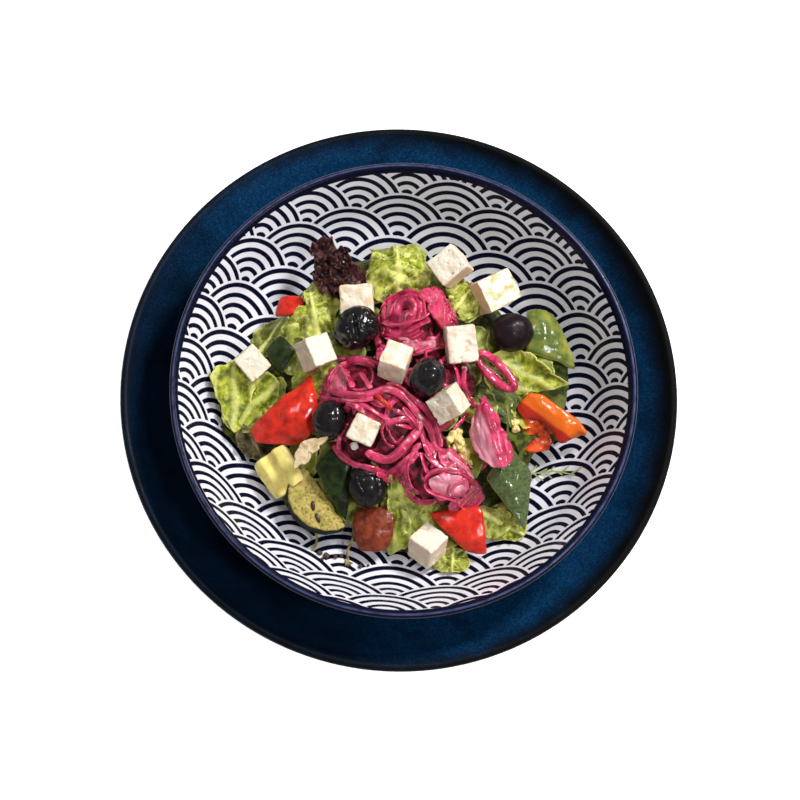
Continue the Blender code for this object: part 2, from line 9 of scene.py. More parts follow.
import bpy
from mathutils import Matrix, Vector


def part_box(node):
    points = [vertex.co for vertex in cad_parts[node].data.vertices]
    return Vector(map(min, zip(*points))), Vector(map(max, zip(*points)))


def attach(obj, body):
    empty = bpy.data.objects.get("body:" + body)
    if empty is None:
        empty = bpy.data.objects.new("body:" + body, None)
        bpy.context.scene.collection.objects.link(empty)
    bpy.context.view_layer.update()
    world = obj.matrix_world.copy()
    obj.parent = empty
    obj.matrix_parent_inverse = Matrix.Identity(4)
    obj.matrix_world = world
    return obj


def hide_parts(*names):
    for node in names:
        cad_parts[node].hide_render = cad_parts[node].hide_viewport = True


bl_info = {
    "name": "Greek Salad",
    "version": (1, 0, 0),
    "blender": (4, 5, 0),
    "location": "View3D > Sidebar > Salad",
    "description": "Dresses the frame of a Greek salad in its bowl",
    "category": "Add Mesh",
}

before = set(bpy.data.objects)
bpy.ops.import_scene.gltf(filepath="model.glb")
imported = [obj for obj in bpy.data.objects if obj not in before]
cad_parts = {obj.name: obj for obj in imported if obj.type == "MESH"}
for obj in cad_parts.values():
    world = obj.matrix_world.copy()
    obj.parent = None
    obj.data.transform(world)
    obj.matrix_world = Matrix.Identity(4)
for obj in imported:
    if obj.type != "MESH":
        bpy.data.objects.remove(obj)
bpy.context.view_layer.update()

import math
import random

import bmesh
import bpy
from bpy.props import FloatProperty, FloatVectorProperty, IntProperty, PointerProperty
from bpy.types import Operator, Panel, PropertyGroup
from mathutils import Matrix, Vector, noise
from mathutils.bvhtree import BVHTree

MM = 0.001

# ---- places taken from the frame ----------------------------------------
PLATE_LOW, PLATE_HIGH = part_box("underplate")
BOWL_LOW, BOWL_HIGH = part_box("bowl")
PLATE_RIM_RADIUS = (PLATE_HIGH.x - PLATE_LOW.x) / 2.0
BOWL_RIM_RADIUS = (BOWL_HIGH.x - BOWL_LOW.x) / 2.0
BOWL_CENTRE = (BOWL_LOW + BOWL_HIGH) / 2.0
BOWL_CENTRE.z = 0.0

# ---- the dishes' own sizes ----------------------------------------------
PLATE_FLOOR_RADIUS = 75.0 * MM
PLATE_FLOOR_HEIGHT = 6.5 * MM
PLATE_CURVE_RADIUS = 85.5 * MM
PLATE_SLOPE = math.radians(48.4)
PLATE_WALL = 4.5 * MM
PLATE_FOOT = (61.0 * MM, 68.0 * MM, 0.0)

BOWL_FLOOR_RADIUS = 67.0 * MM
BOWL_FLOOR_HEIGHT = 16.3 * MM
BOWL_CURVE_RADIUS = 38.0 * MM
BOWL_SLOPE = math.radians(64.0)
BOWL_WALL = 4.2 * MM
BOWL_FOOT = (45.0 * MM, 50.0 * MM, BOWL_LOW.z)

FOOT_TAPER = 1.0 * MM
ROUND_SEGMENTS = 160
CURVE_STEPS = 22
LIP_STEPS = 7

# ---- spacing and distances of fine meshes -------------------------------
FETA_GRAIN = 0.45 * MM
VEG_GRAIN = 0.5 * MM
CORE_GRAIN = 1.3 * MM
CORE_SINK = 1.6 * MM           # cores lie this far under their solids' tops
SAMPLE_REACH = 2.5 * MM        # heap heights are averaged over this distance
BOWL_SKIM = 0.8 * MM           # leaves lie this far off the bowl
ONION_LAYER = 1.3 * MM
STRAND_SIDES = 10
SKY = 0.2                      # rays that look down at a surface start here
DOWN = Vector((0.0, 0.0, -1.0))


# ---- shared tools -------------------------------------------------------
def wave(place, size, seed=0.0):
    """A smooth value from -1 to 1 that changes over about one size."""
    return noise.noise(Vector(place) / size + Vector((seed, 2.0 * seed, -seed)))


def blend(low, high, value):
    """0 below low, 1 above high and smooth between them."""
    share = min(1.0, max(0.0, (value - low) / (high - low)))
    return share * share * (3.0 - 2.0 * share)


def mesh_from(name, bm):
    mesh = bpy.data.meshes.new(name)
    bm.to_mesh(mesh)
    bm.free()
    return mesh


def add_piece(name, shape, slot, nodes, *finishes):
    """Link a shape, a mesh or a bmesh, as a piece that rides on the dish."""
    mesh = mesh_from(name, shape) if isinstance(shape, bmesh.types.BMesh) else shape
    mesh.name = name
    mesh.shade_smooth()
    mesh.materials.clear()
    for finish in finishes:
        mesh.materials.append(finish)
    piece = bpy.data.objects.new(name, mesh)
    bpy.context.scene.collection.objects.link(piece)
    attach(piece, "root")
    if nodes:
        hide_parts(*nodes)


def evaluated_mesh(mesh, *modifiers):
    """The mesh after a list of (kind, settings) modifiers is applied."""
    holder = bpy.data.objects.new("holder", mesh)
    bpy.context.scene.collection.objects.link(holder)
    for kind, settings in modifiers:
        added = holder.modifiers.new(kind.lower(), kind)
        for key, value in settings.items():
            setattr(added, key, value)
    graph = bpy.context.evaluated_depsgraph_get()
    made = bpy.data.meshes.new_from_object(holder.evaluated_get(graph))
    bpy.data.objects.remove(holder, do_unlink=True)
    return made


def add_sheet(name, bm, thickness, slot, nodes, finish):
    """Give a sheet its thickness and add it as a piece."""
    bmesh.ops.recalc_face_normals(bm, faces=bm.faces[:])
    solid = evaluated_mesh(mesh_from(name, bm),
                           ("SOLIDIFY", {"thickness": thickness, "offset": 0.0}))
    add_piece(name, solid, slot, nodes, finish)


def uv_layer(bm):
    """The UV layout that the finishes read."""
    return bm.loops.layers.uv.get("UVMap") or bm.loops.layers.uv.new("UVMap")


def lay_uv(layout, verts, flat_place):
    """Set the UV at every corner of these points to flat_place(point)."""
    for face in {face for vert in verts for face in vert.link_faces}:
        for loop in face.loops:
            loop[layout].uv = flat_place(loop.vert)


def merged_copy(node):
    """A copy of a solid with its loose triangles joined up."""
    bm = bmesh.new()
    bm.from_mesh(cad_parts[node].data)
    bmesh.ops.remove_doubles(bm, verts=bm.verts[:], dist=0.002 * MM)
    return bm


def close_copy(node, grain, softness, rounded=False):
    """An even, softened copy of a solid, ready for fine relief.

    A rounded copy loses the flat facets of its solid first.
    """
    bm = merged_copy(node)
    steps = [("REMESH", {"mode": "VOXEL", "voxel_size": grain})]
    if rounded:
        bmesh.ops.join_triangles(bm, faces=bm.faces[:], angle_face_threshold=0.5,
                                 angle_shape_threshold=0.8)
        steps.insert(0, ("SUBSURF", {"levels": 2, "render_levels": 2}))
    even = evaluated_mesh(mesh_from(node, bm), *steps)
    bm = bmesh.new()
    bm.from_mesh(even)
    for _ in range(softness):
        bmesh.ops.smooth_vert(bm, verts=bm.verts[:], factor=0.5,
                              use_axis_x=True, use_axis_y=True, use_axis_z=True)
    bm.normal_update()
    return bm


def raise_relief(bm, height):
    """Move each point along its normal by height(place, normal)."""
    moves = [vert.normal * height(vert.co, vert.normal) for vert in bm.verts]
    for vert, move in zip(bm.verts, moves):
        vert.co += move
    bm.normal_update()


def point_layer(bm, name):
    """The layer of this name that holds one number for each point."""
    return bm.verts.layers.float.get(name) or bm.verts.layers.float.new(name)


def paint(bm, name, value):
    """Store value(place, normal) on each point for a finish to read."""
    layer = point_layer(bm, name)
    for vert in bm.verts:
        vert[layer] = value(vert.co, vert.normal)


# ---- heights of the heaps -----------------------------------------------
def surface_of(node):
    bm = merged_copy(node)
    tree = BVHTree.FromBMesh(bm)
    bm.free()
    return tree


LEAF_HEAP = surface_of("salad_leaves")
ONION_HEAP = surface_of("pickled_onion")
TOPPING_SURFACES = [surface_of(name) for name in sorted(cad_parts)
                    if name not in ("bowl", "underplate", "salad_leaves",
                                    "pickled_onion", "dark_leaf")]


def bowl_inside(x, y):
    """Height of the bowl's inner surface."""
    past = math.hypot(x - BOWL_CENTRE.x, y - BOWL_CENTRE.y) - BOWL_FLOOR_RADIUS
    if past <= 0.0:
        return BOWL_FLOOR_HEIGHT
    curved = BOWL_CURVE_RADIUS * math.sin(BOWL_SLOPE)
    if past <= curved:
        rise = BOWL_CURVE_RADIUS - math.sqrt(BOWL_CURVE_RADIUS ** 2 - past ** 2)
        return BOWL_FLOOR_HEIGHT + rise
    rise = BOWL_CURVE_RADIUS * (1.0 - math.cos(BOWL_SLOPE))
    return BOWL_FLOOR_HEIGHT + rise + (past - curved) * math.tan(BOWL_SLOPE)


def seen_from_above(tree, x, y):
    """The point of a surface that shows from above, or None."""
    return tree.ray_cast(Vector((x, y, SKY)), DOWN)[0]


def top_of(tree, x, y, otherwise):
    hit = seen_from_above(tree, x, y)
    return max(hit.z, otherwise) if hit else otherwise


def averaged(height, x, y):
    """A height averaged over a small cross of points."""
    reach = SAMPLE_REACH
    spots = ((0.0, 0.0), (reach, 0.0), (-reach, 0.0), (0.0, reach), (0.0, -reach))
    return sum(height(x + dx, y + dy) for dx, dy in spots) / len(spots)


def leaf_top(x, y):
    return top_of(LEAF_HEAP, x, y, bowl_inside(x, y) + BOWL_SKIM)


def onion_top(x, y):
    return top_of(ONION_HEAP, x, y, leaf_top(x, y))


def any_top(x, y):
    """The highest solid at a place, whatever it is."""
    return max(onion_top(x, y), *(top_of(tree, x, y, 0.0) for tree in TOPPING_SURFACES))


def soft_ground(x, y):
    """Height that leaves lie on."""
    return averaged(leaf_top, x, y)


def soft_onion(x, y):
    """Height that layers of onion lie on."""
    return averaged(onion_top, x, y)


# ---- finishes -----------------------------------------------------------
class Recipe:
    """Builds the nodes of one finish on a Principled shader."""

    def __init__(self, name, roughness=0.5, coat=0.0, coat_roughness=0.1,
                 subsurface=0.0, specular=0.5):
        self.finish = bpy.data.materials.new(name)
        self.finish.use_nodes = True
        self.tree = self.finish.node_tree
        self.shader = self.tree.nodes["Principled BSDF"]
        self.shader.inputs["Roughness"].default_value = roughness
        self.shader.inputs["Specular IOR Level"].default_value = specular
        self.shader.inputs["Coat Weight"].default_value = coat
        self.shader.inputs["Coat Roughness"].default_value = coat_roughness
        self.shader.inputs["Subsurface Weight"].default_value = subsurface
        self.shader.inputs["Subsurface Scale"].default_value = 1.5 * MM

    def feed(self, socket, value):
        if isinstance(value, bpy.types.NodeSocket):
            self.tree.links.new(value, socket)
        elif hasattr(socket.default_value, "__len__") and len(value) == 3 \
                and len(socket.default_value) == 4:
            socket.default_value = (*value, 1.0)
        else:
            socket.default_value = value

    def add(self, kind, settings, **inputs):
        node = self.tree.nodes.new(kind)
        for key, value in settings.items():
            setattr(node, key, value)
        for key, value in inputs.items():
            self.feed(node.inputs[key.replace("_", " ")], value)
        return node

    def maths(self, operation, first, second=0.0):
        node = self.tree.nodes.new("ShaderNodeMath")
        node.operation = operation
        self.feed(node.inputs[0], first)
        self.feed(node.inputs[1], second)
        return node.outputs[0]

    def place(self):
        return self.add("ShaderNodeTexCoord", {}).outputs["Object"]

    def stored(self, name):
        return self.add("ShaderNodeAttribute", {"attribute_name": name}).outputs["Fac"]

    def map_uv(self):
        return self.add("ShaderNodeUVMap", {"uv_map": "UVMap"}).outputs[0]

    def stretch(self, vector, scale):
        return self.add("ShaderNodeMapping", {}, Vector=vector, Scale=scale).outputs[0]

    def cloud(self, vector, size, detail=3.0, roughness=0.5):
        return self.add("ShaderNodeTexNoise", {}, Vector=vector, Scale=1.0 / size,
                        Detail=detail, Roughness=roughness).outputs[0]

    def cells(self, vector, size):
        return self.add("ShaderNodeTexVoronoi", {}, Vector=vector,
                        Scale=1.0 / size).outputs["Distance"]

    def plus(self, first, second):
        return self.maths("ADD", first, second)

    def minus(self, first, second):
        return self.maths("SUBTRACT", first, second)

    def times(self, first, second):
        return self.maths("MULTIPLY", first, second)

    def between(self, value, low, high, start=0.0, end=1.0):
        node = self.add("ShaderNodeMapRange", {"interpolation_type": "SMOOTHSTEP"},
                        Value=value)
        for socket, number in zip(list(node.inputs)[1:5], (low, high, start, end)):
            socket.default_value = number
        return node.outputs[0]

    def mix(self, share, first, second):
        node = self.tree.nodes.new("ShaderNodeMix")
        node.data_type = "RGBA"
        self.feed(node.inputs[0], share)
        self.feed(node.inputs[6], first)
        self.feed(node.inputs[7], second)
        return node.outputs[2]

    def bump(self, height, depth, strength=1.0):
        node = self.add("ShaderNodeBump", {}, Height=height, Distance=depth,
                        Strength=strength)
        self.feed(self.shader.inputs["Normal"], node.outputs[0])
        self.feed(self.shader.inputs["Coat Normal"], node.outputs[0])

    def colour(self, value):
        self.feed(self.shader.inputs["Base Color"], value)

    def rough(self, value):
        self.feed(self.shader.inputs["Roughness"], value)


def blue_glaze(picked):
    """Mottled blue reactive glaze that breaks to black at the rim, with painted shade at
    the left and right.
    """
    r = Recipe("blue_glaze", 0.3, specular=0.12)
    place = r.place()
    speckle = r.cloud(place, 1.0 * MM, 4.0, 0.75)
    drift = r.cloud(place, 16.0 * MM, 3.0)
    blue = r.mix(r.between(speckle, 0.42, 0.68), picked.blue, picked.blue_speckle)
    blue = r.mix(r.between(drift, 0.40, 0.75, 0.0, 0.4), blue, picked.rim_black)
    split = r.add("ShaderNodeSeparateXYZ", {}, Vector=place)
    x, y = split.outputs[0], split.outputs[1]
    # Painted shadow: the bowl's shadow is painted dark over the plate's left.
    side = r.plus(x, r.times(y, 0.6))
    pooled = r.between(side, -120.0 * MM, -20.0 * MM, picked.pooling, 0.0)
    blue = r.mix(pooled, blue, picked.rim_black)
    # Painted shade: darker towards the right, where the wall faces away from the light.
    thick = r.between(x, 50.0 * MM, 130.0 * MM, 0.0, picked.thickening)
    blue = r.mix(thick, blue, picked.rim_black)
    radius = r.add("ShaderNodeVectorMath", {"operation": "LENGTH"},
                   Vector=r.stretch(place, (1.0, 1.0, 0.0))).outputs["Value"]
    wander = r.times(r.cloud(place, 11.0 * MM, 3.0), 6.0 * MM)
    # The dark rim is wider at the back right: the glaze breaking there, and painted shade
    # where the wall faces away from the light.
    uneven = r.plus(r.times(x, picked.rim_drift), r.times(y, 0.4 * picked.rim_drift))
    edge = r.plus(r.plus(radius, wander), uneven)
    rim = r.between(edge, PLATE_RIM_RADIUS - 9.0 * MM, PLATE_RIM_RADIUS + 2.5 * MM)
    r.colour(r.mix(rim, blue, picked.rim_black))
    r.rough(r.plus(r.between(speckle, 0.3, 0.7, 0.36, 0.24), r.times(rim, 0.4)))
    r.bump(speckle, 0.06 * MM)
    return r.finish


def wave_rings(r, picked, point_u, point_v):
    """1 where a line of the overlapping waves runs, from points in wave radii.

    Rows of circles stand half a radius apart, each row shifted by one radius.
    A lower circle covers the ones above it and keeps a thin white margin.
    """
    margin = 1.0 + picked.wave_margin
    lowest = r.minus(point_v, margin)
    lowest = r.maths("CEIL", r.times(lowest, 2.0))
    distances = []
    for step in range(3):
        row = r.plus(lowest, float(step))
        shift = r.maths("FLOORED_MODULO", row, 2.0)
        along = r.minus(point_u, shift)
        nearest = r.maths("ROUND", r.maths("DIVIDE", along, 2.0))
        across = r.minus(along, r.times(nearest, 2.0))
        up = r.minus(point_v, r.times(row, 0.5))
        square = r.plus(r.times(across, across), r.times(up, up))
        distances.append(r.maths("SQRT", square))
    chosen = distances[2]
    for nearer in (distances[1], distances[0]):
        inside = r.maths("LESS_THAN", nearer, margin)
        change = r.times(inside, r.minus(nearer, chosen))
        chosen = r.plus(chosen, change)
    pitch = picked.wave_pitch
    half_line = picked.wave_line / 2.0
    blur = 0.006
    offset = r.maths("DIVIDE", r.minus(1.0 - half_line, chosen), pitch)
    wrapped = r.minus(offset, r.maths("ROUND", offset))
    away = r.times(r.maths("ABSOLUTE", wrapped), pitch)
    line = r.between(away, half_line - blur, half_line + blur, 1.0, 0.0)
    return r.times(line, r.maths("LESS_THAN", chosen, 1.01))


def wave_glaze(picked, lip_arc, crest_arc):
    """White glaze printed with navy waves, and a navy lip with a painted highlight along
    its crest.
    """
    r = Recipe("wave_glaze", 0.24, specular=0.12)
    uv = r.map_uv()
    wobble = r.cloud(uv, 0.35, 2.0)
    wobble = r.times(r.minus(wobble, 0.5), 0.012)
    split = r.add("ShaderNodeSeparateXYZ", {}, Vector=uv)
    lines = wave_rings(r, picked, r.plus(split.outputs[0], wobble),
                       r.plus(split.outputs[1], wobble))
    white = r.mix(r.between(r.cloud(uv, 0.8, 3.0), 0.35, 0.7),
                  picked.white, picked.white_shade)
    patterned = r.mix(lines, white, picked.navy)
    # The navy band inside the lip is wider towards the back right and narrower at the front
    # left.
    toward = r.add("ShaderNodeVectorMath", {"operation": "DOT_PRODUCT"}).outputs["Value"]
    r.feed(toward.node.inputs[0], r.place())
    toward.node.inputs[1].default_value = (0.5, 0.87, 0.0)
    slipped = r.times(toward, picked.lip_slip / BOWL_RIM_RADIUS)
    arc = r.plus(r.stored("arc"), slipped)
    lip = r.between(arc, lip_arc - 0.2 * MM, lip_arc + 0.2 * MM)
    glazed = r.mix(lip, patterned, picked.lip_navy)
    # Thin glaze and a painted highlight along the lip's crest.
    crest = r.maths("ABSOLUTE", r.minus(r.stored("arc"), crest_arc))
    worn = r.between(r.cloud(r.place(), 5.0 * MM, 3.0), 0.3, 0.6, 0.35, 0.9)
    crest = r.times(worn, r.between(crest, 0.25 * MM, 0.75 * MM, 1.0, 0.0))
    r.colour(r.mix(crest, glazed, picked.lip_pale))
    r.rough(r.between(r.cloud(uv, 0.2, 2.0), 0.3, 0.7, 0.2, 0.3))
    r.bump(lines, 0.05 * MM, 0.5)
    return r.finish


def navy_glaze(picked):
    """Navy glaze on the outside of the bowl."""
    r = Recipe("navy_glaze", 0.25, specular=0.2)
    place = r.place()
    drift = r.cloud(place, 6.0 * MM, 4.0, 0.6)
    r.colour(r.mix(r.between(drift, 0.35, 0.7), picked.navy, picked.lip_navy))
    r.bump(drift, 0.05 * MM, 0.6)
    return r.finish


def leaf_finish(name, pale, green, dark, roughness=0.42):
    """Lettuce: pale ribs, green blisters, crests painted light as a highlight and a darker
    tone painted as shade.
    """
    r = Recipe(name, roughness, coat=0.04, coat_roughness=0.25, subsurface=0.05,
               specular=0.3)
    place = r.place()
    mottle = r.cloud(place, 4.5 * MM, 5.0, 0.65)
    fine = r.cloud(place, 1.2 * MM, 3.0, 0.6)
    flesh = r.mix(r.between(mottle, 0.36, 0.66), green, dark)
    veined = r.times(r.between(r.stored("blister"), 0.0, 0.22, 1.0, 0.0),
                     r.between(fine, 0.3, 0.6, 0.3, 0.8))
    base = r.mix(veined, flesh, pale)
    base = r.mix(r.between(mottle, 0.30, 0.44, 0.55, 0.0), base, pale)
    # The tone darkens towards dark: painted shade on leaves that lie in shade.
    base = r.mix(r.times(r.stored("tone"), 0.8), base, dark)
    # The rib layer carries the pale stalk, the pale rim and the painted highlight on fold
    # crests.
    base = r.mix(r.stored("rib"), base, pale)
    r.colour(base)
    r.bump(fine, 0.22 * MM, 0.7)
    return r.finish


def onion_finish(name, picked, streak_size):
    """Pickled onion: magenta with soft pale streaks, wine-dark patches and painted shade in
    the whorl's hollow.
    """
    r = Recipe(name, 0.26, coat=0.55, coat_roughness=0.07, subsurface=0.12)
    streaks = r.cloud(r.stretch(r.map_uv(), streak_size), 1.0, 3.0, 0.6)
    place = r.place()
    patches = r.cloud(place, 6.0 * MM, 3.0, 0.6)
    base = r.mix(r.between(patches, 0.38, 0.62), picked.magenta, picked.deep_magenta)
    base = r.mix(r.between(streaks, 0.28, 0.46, 0.9, 0.0), base, picked.deep_magenta)
    base = r.mix(r.between(streaks, 0.56, 0.72, 0.0, 0.8), base, picked.pink)
    blush = r.times(r.stored("pale"), r.between(streaks, 0.34, 0.56, 0.6, 1.0))
    base = r.mix(blush, base, picked.pink)
    # Painted shade in the hollow of the whorl, in the colour of the gaps.
    base = r.mix(r.stored("deep"), base, picked.gap)
    r.colour(base)
    r.bump(streaks, 0.45 * MM, 0.6)
    return r.finish


def feta_finish(name, picked, stain, amount, onset):
    """Crumbly white cheese with dark specks, a little picked-up colour and painted shade on
    its sides.
    """
    r = Recipe(name, 0.62, coat=0.04, subsurface=0.2)
    place = r.place()
    grain = r.cloud(place, 1.1 * MM, 4.0, 0.65)
    drift = r.cloud(place, 5.0 * MM, 3.0)
    base = r.mix(r.between(grain, 0.35, 0.65), picked.feta, picked.feta_shade)
    base = r.mix(r.between(drift, onset, onset + 0.18, 0.0, amount), base, stain)
    # Painted shade: the sides are darker and warmer as they turn from facing up.
    base = r.mix(r.stored("soaked"), base, picked.feta_soaked)
    speck = r.between(r.cells(place, 3.2 * MM), 0.05, 0.10, 1.0, 0.0)
    base = r.mix(r.times(speck, 0.6), base, picked.feta_speck)
    r.colour(base)
    r.bump(grain, 0.16 * MM, 0.7)
    return r.finish


def olive_finish(name, picked, skin, roughness, coat):
    """Dark olive skin with a faint bloom."""
    r = Recipe(name, roughness, coat=coat, coat_roughness=0.05, specular=0.15)
    place = r.place()
    bloom = r.cloud(place, 4.0 * MM, 4.0, 0.6)
    r.colour(r.mix(r.between(bloom, 0.4, 0.75), skin, picked.olive_bloom))
    r.rough(r.between(bloom, 0.3, 0.7, roughness, roughness + 0.12))
    r.bump(bloom, 0.2 * MM, 0.6)
    return r.finish


def skinned_finish(name, skin, shade, flesh, roughness=0.22, coat=0.5,
                   patch=6.0 * MM, dents=0.0):
    """A vegetable with glossy skin above and paler flesh on its cut edges."""
    r = Recipe(name, roughness, coat=coat, coat_roughness=0.07, subsurface=0.06,
               specular=0.25)
    place = r.place()
    drift = r.cloud(place, patch, 4.0, 0.6)
    pores = r.cloud(place, 0.9 * MM, 3.0, 0.6)
    base = r.mix(r.between(drift, 0.38, 0.68), skin, shade)
    base = r.mix(r.between(r.stored("skin"), 0.25, 0.75, 1.0, 0.0), base, flesh)
    r.colour(base)
    dimples = r.times(r.cloud(place, 7.0 * MM, 2.0), dents)
    r.bump(r.plus(r.times(pores, 0.06 * MM), dimples), 1.0)
    return r.finish


def courgette_finish(picked):
    """Grilled courgette: speckled flesh, browned spots and dark skin."""
    r = Recipe("courgette_flesh", 0.6, subsurface=0.1, specular=0.25)
    place = r.place()
    drift = r.cloud(place, 5.0 * MM, 4.0, 0.6)
    base = r.mix(r.between(drift, 0.36, 0.66), picked.courgette, picked.courgette_green)
    browned = r.between(r.cloud(place, 1.5 * MM, 4.0, 0.75), 0.50, 0.62)
    base = r.mix(r.times(browned, 0.7), base, picked.browned)
    base = r.mix(r.stored("skin"), base, picked.cucumber)
    r.colour(base)
    r.bump(drift, 0.4 * MM, 0.7)
    return r.finish


def grainy_finish(name, first, second, size, roughness=0.5, coat=0.1):
    """Two colours clouded together, for stems, seeds and crumbs."""
    r = Recipe(name, roughness, coat=coat)
    drift = r.cloud(r.place(), size, 4.0, 0.6)
    r.colour(r.mix(r.between(drift, 0.36, 0.66), first, second))
    r.bump(drift, 0.15 * MM, 0.7)
    return r.finish


# ---- sizes and colours that a user may change ---------------------------
def colour(name, text, default):
    return FloatVectorProperty(name=name, description=text, default=default,
                               size=3, min=0.0, max=1.0, subtype="COLOR")


def length(name, text, default):
    return FloatProperty(name=name, description=text, default=default, min=0.0,
                         precision=4, subtype="DISTANCE", unit="LENGTH")


def offset(name, text, default):
    return FloatProperty(name=name, description=text, default=default, precision=4,
                         subtype="DISTANCE", unit="LENGTH")


def portion(name, text, default):
    return FloatProperty(name=name, description=text, default=default, min=0.0,
                         max=1.0, subtype="FACTOR")


def tally(name, text, default):
    return IntProperty(name=name, description=text, default=default, min=0, max=90)


def watts(name, text, default):
    return FloatProperty(name=name, description=text, default=default, min=0.0,
                         unit="POWER")


def brightness(name, text, default):
    return FloatProperty(name=name, description=text, default=default, min=0.0)


class DishLooks(PropertyGroup):
    """The two dishes."""
    wave_radius: length("Wave radius", "Radius of one printed wave", 27.2 * MM)
    wave_turn: FloatProperty(name="Wave turn", description="Turn of the pattern",
                             default=math.radians(-3.9), subtype="ANGLE")
    wave_x: offset("Wave X", "Middle of one wave, across", -36.8 * MM)
    wave_y: offset("Wave Y", "Middle of one wave, back", 104.4 * MM)
    wave_pitch: portion("Line pitch", "Distance between lines, in radii", 0.211)
    wave_line: portion("Line width", "Width of a line, in radii", 0.096)
    wave_margin: portion("Margin", "White margin round a wave, in radii", 0.055)
    lip_depth: length("Lip depth", "How far navy runs down inside", 1.4 * MM)
    # Lip slip widens the navy band inside the lip towards the back right.
    lip_slip: length("Lip slip", "How far the pattern has slipped forwards", 1.0 * MM)
    white: colour("White", "White glaze", (0.90, 0.89, 0.95))
    white_shade: colour("White shade", "Clouding in the white", (0.84, 0.83, 0.90))
    navy: colour("Navy", "Printed lines", (0.004, 0.005, 0.022))
    lip_navy: colour("Lip navy", "Lip and outside of the bowl", (0.003, 0.005, 0.020))
    # Painted shadow of the bowl over the plate's left.
    pooling: portion("Pooling", "How dark the glaze has pooled at the left", 0.75)
    # Painted shade towards the plate's right.
    thickening: portion("Thickening", "Darker glaze towards one side", 0.35)
    # The dark rim's extra width at one side is partly painted shade.
    rim_drift: portion("Rim drift", "How much wider the dark rim is at one side", 0.026)
    # Lip pale is thin glaze and a painted highlight along the lip's crest.
    lip_pale: colour("Lip pale", "Where glaze is thin on the lip", (0.07, 0.08, 0.19))
    blue: colour("Blue", "Reactive glaze", (0.0015, 0.030, 0.094))
    blue_speckle: colour("Blue speckle", "Light mottling", (0.015, 0.092, 0.23))
    # Rim black is also the colour of the painted shade on the plate.
    rim_black: colour("Rim black", "Where the glaze breaks", (0.0012, 0.0012, 0.0016))


class LeafLooks(PropertyGroup):
    """Lettuce."""
    thickness: length("Thickness", "Thickness of a leaf", 0.6 * MM)
    small_leaves: tally("Small leaves", "Leaves that fill gaps", 60)
    pale: colour("Pale", "Ribs and young leaf", (0.84, 0.84, 0.26))
    green: colour("Green", "Leaf between its veins", (0.47, 0.51, 0.040))
    dark: colour("Dark", "Shaded leaf", (0.095, 0.125, 0.010))
    maroon: colour("Maroon", "Dark red lettuce", (0.055, 0.012, 0.012))
    maroon_pale: colour("Maroon edge", "Its lit frills", (0.20, 0.075, 0.075))


class OnionLooks(PropertyGroup):
    """Pickled onion."""
    strand_width: length("Strand width", "Width of a strand", 4.4 * MM)
    strand_thickness: length("Strand thickness", "Thickness of a strand", 1.3 * MM)
    loose_strands: tally("Strands", "Strands in the tangle", 22)
    magenta: colour("Magenta", "Main colour", (0.76, 0.050, 0.165))
    deep_magenta: colour("Deep magenta", "Dark patches", (0.40, 0.014, 0.055))
    pink: colour("Pink", "Pale streaks", (0.86, 0.36, 0.45))
    # Gaps is painted shade between the strands.
    gap: colour("Gaps", "Between the strands", (0.045, 0.003, 0.009))


class ToppingLooks(PropertyGroup):
    """Cheese, olives and vegetables."""
    feta: colour("Feta", "Cheese", (0.97, 0.91, 0.76))
    # Feta sides is painted shade on the cut sides.
    feta_soaked: colour("Feta sides", "Cut sides soaked with brine", (0.80, 0.63, 0.46))
    feta_shade: colour("Feta shade", "Between its grains", (0.92, 0.82, 0.64))
    feta_speck: colour("Speck", "Herb specks", (0.16, 0.12, 0.06))
    olive: colour("Olive", "Black olive", (0.004, 0.003, 0.0035))
    olive_bloom: colour("Bloom", "Bloom on the skin", (0.014, 0.011, 0.013))
    red: colour("Red", "Red pepper", (0.80, 0.034, 0.012))
    red_shade: colour("Red shade", "Its shaded patches", (0.50, 0.012, 0.008))
    orange: colour("Orange", "Orange pepper", (0.86, 0.16, 0.010))
    roasted: colour("Roasted", "Roasted pepper", (0.28, 0.048, 0.014))
    green: colour("Green", "Green pepper", (0.115, 0.155, 0.050))
    cucumber: colour("Dark green", "Dark green skin", (0.006, 0.014, 0.003))
    courgette: colour("Courgette", "Courgette flesh", (0.58, 0.46, 0.13))
    courgette_green: colour("Courgette green", "Near its skin", (0.33, 0.29, 0.05))
    browned: colour("Browned", "Grilled spots", (0.10, 0.025, 0.006))
    yellow: colour("Yellow", "Pale yellow pepper", (0.95, 0.82, 0.24))


class StageLooks(PropertyGroup):
    """Floor and light."""
    floor: colour("Floor", "Pale floor", (0.93, 0.93, 0.93))
    key: watts("Key light", "Power of the main light", 7.7)
    top: watts("Top light", "Power of the light overhead", 0.9)
    spark: watts("Spark light", "Power of the small side light", 1.6)
    fill: brightness("Fill light", "Strength of the surroundings", 0.26)
    glow: brightness("Floor glow", "Light that the floor gives off", 0.85)


def looks(group):
    return getattr(bpy.context.scene, "salad_" + group)


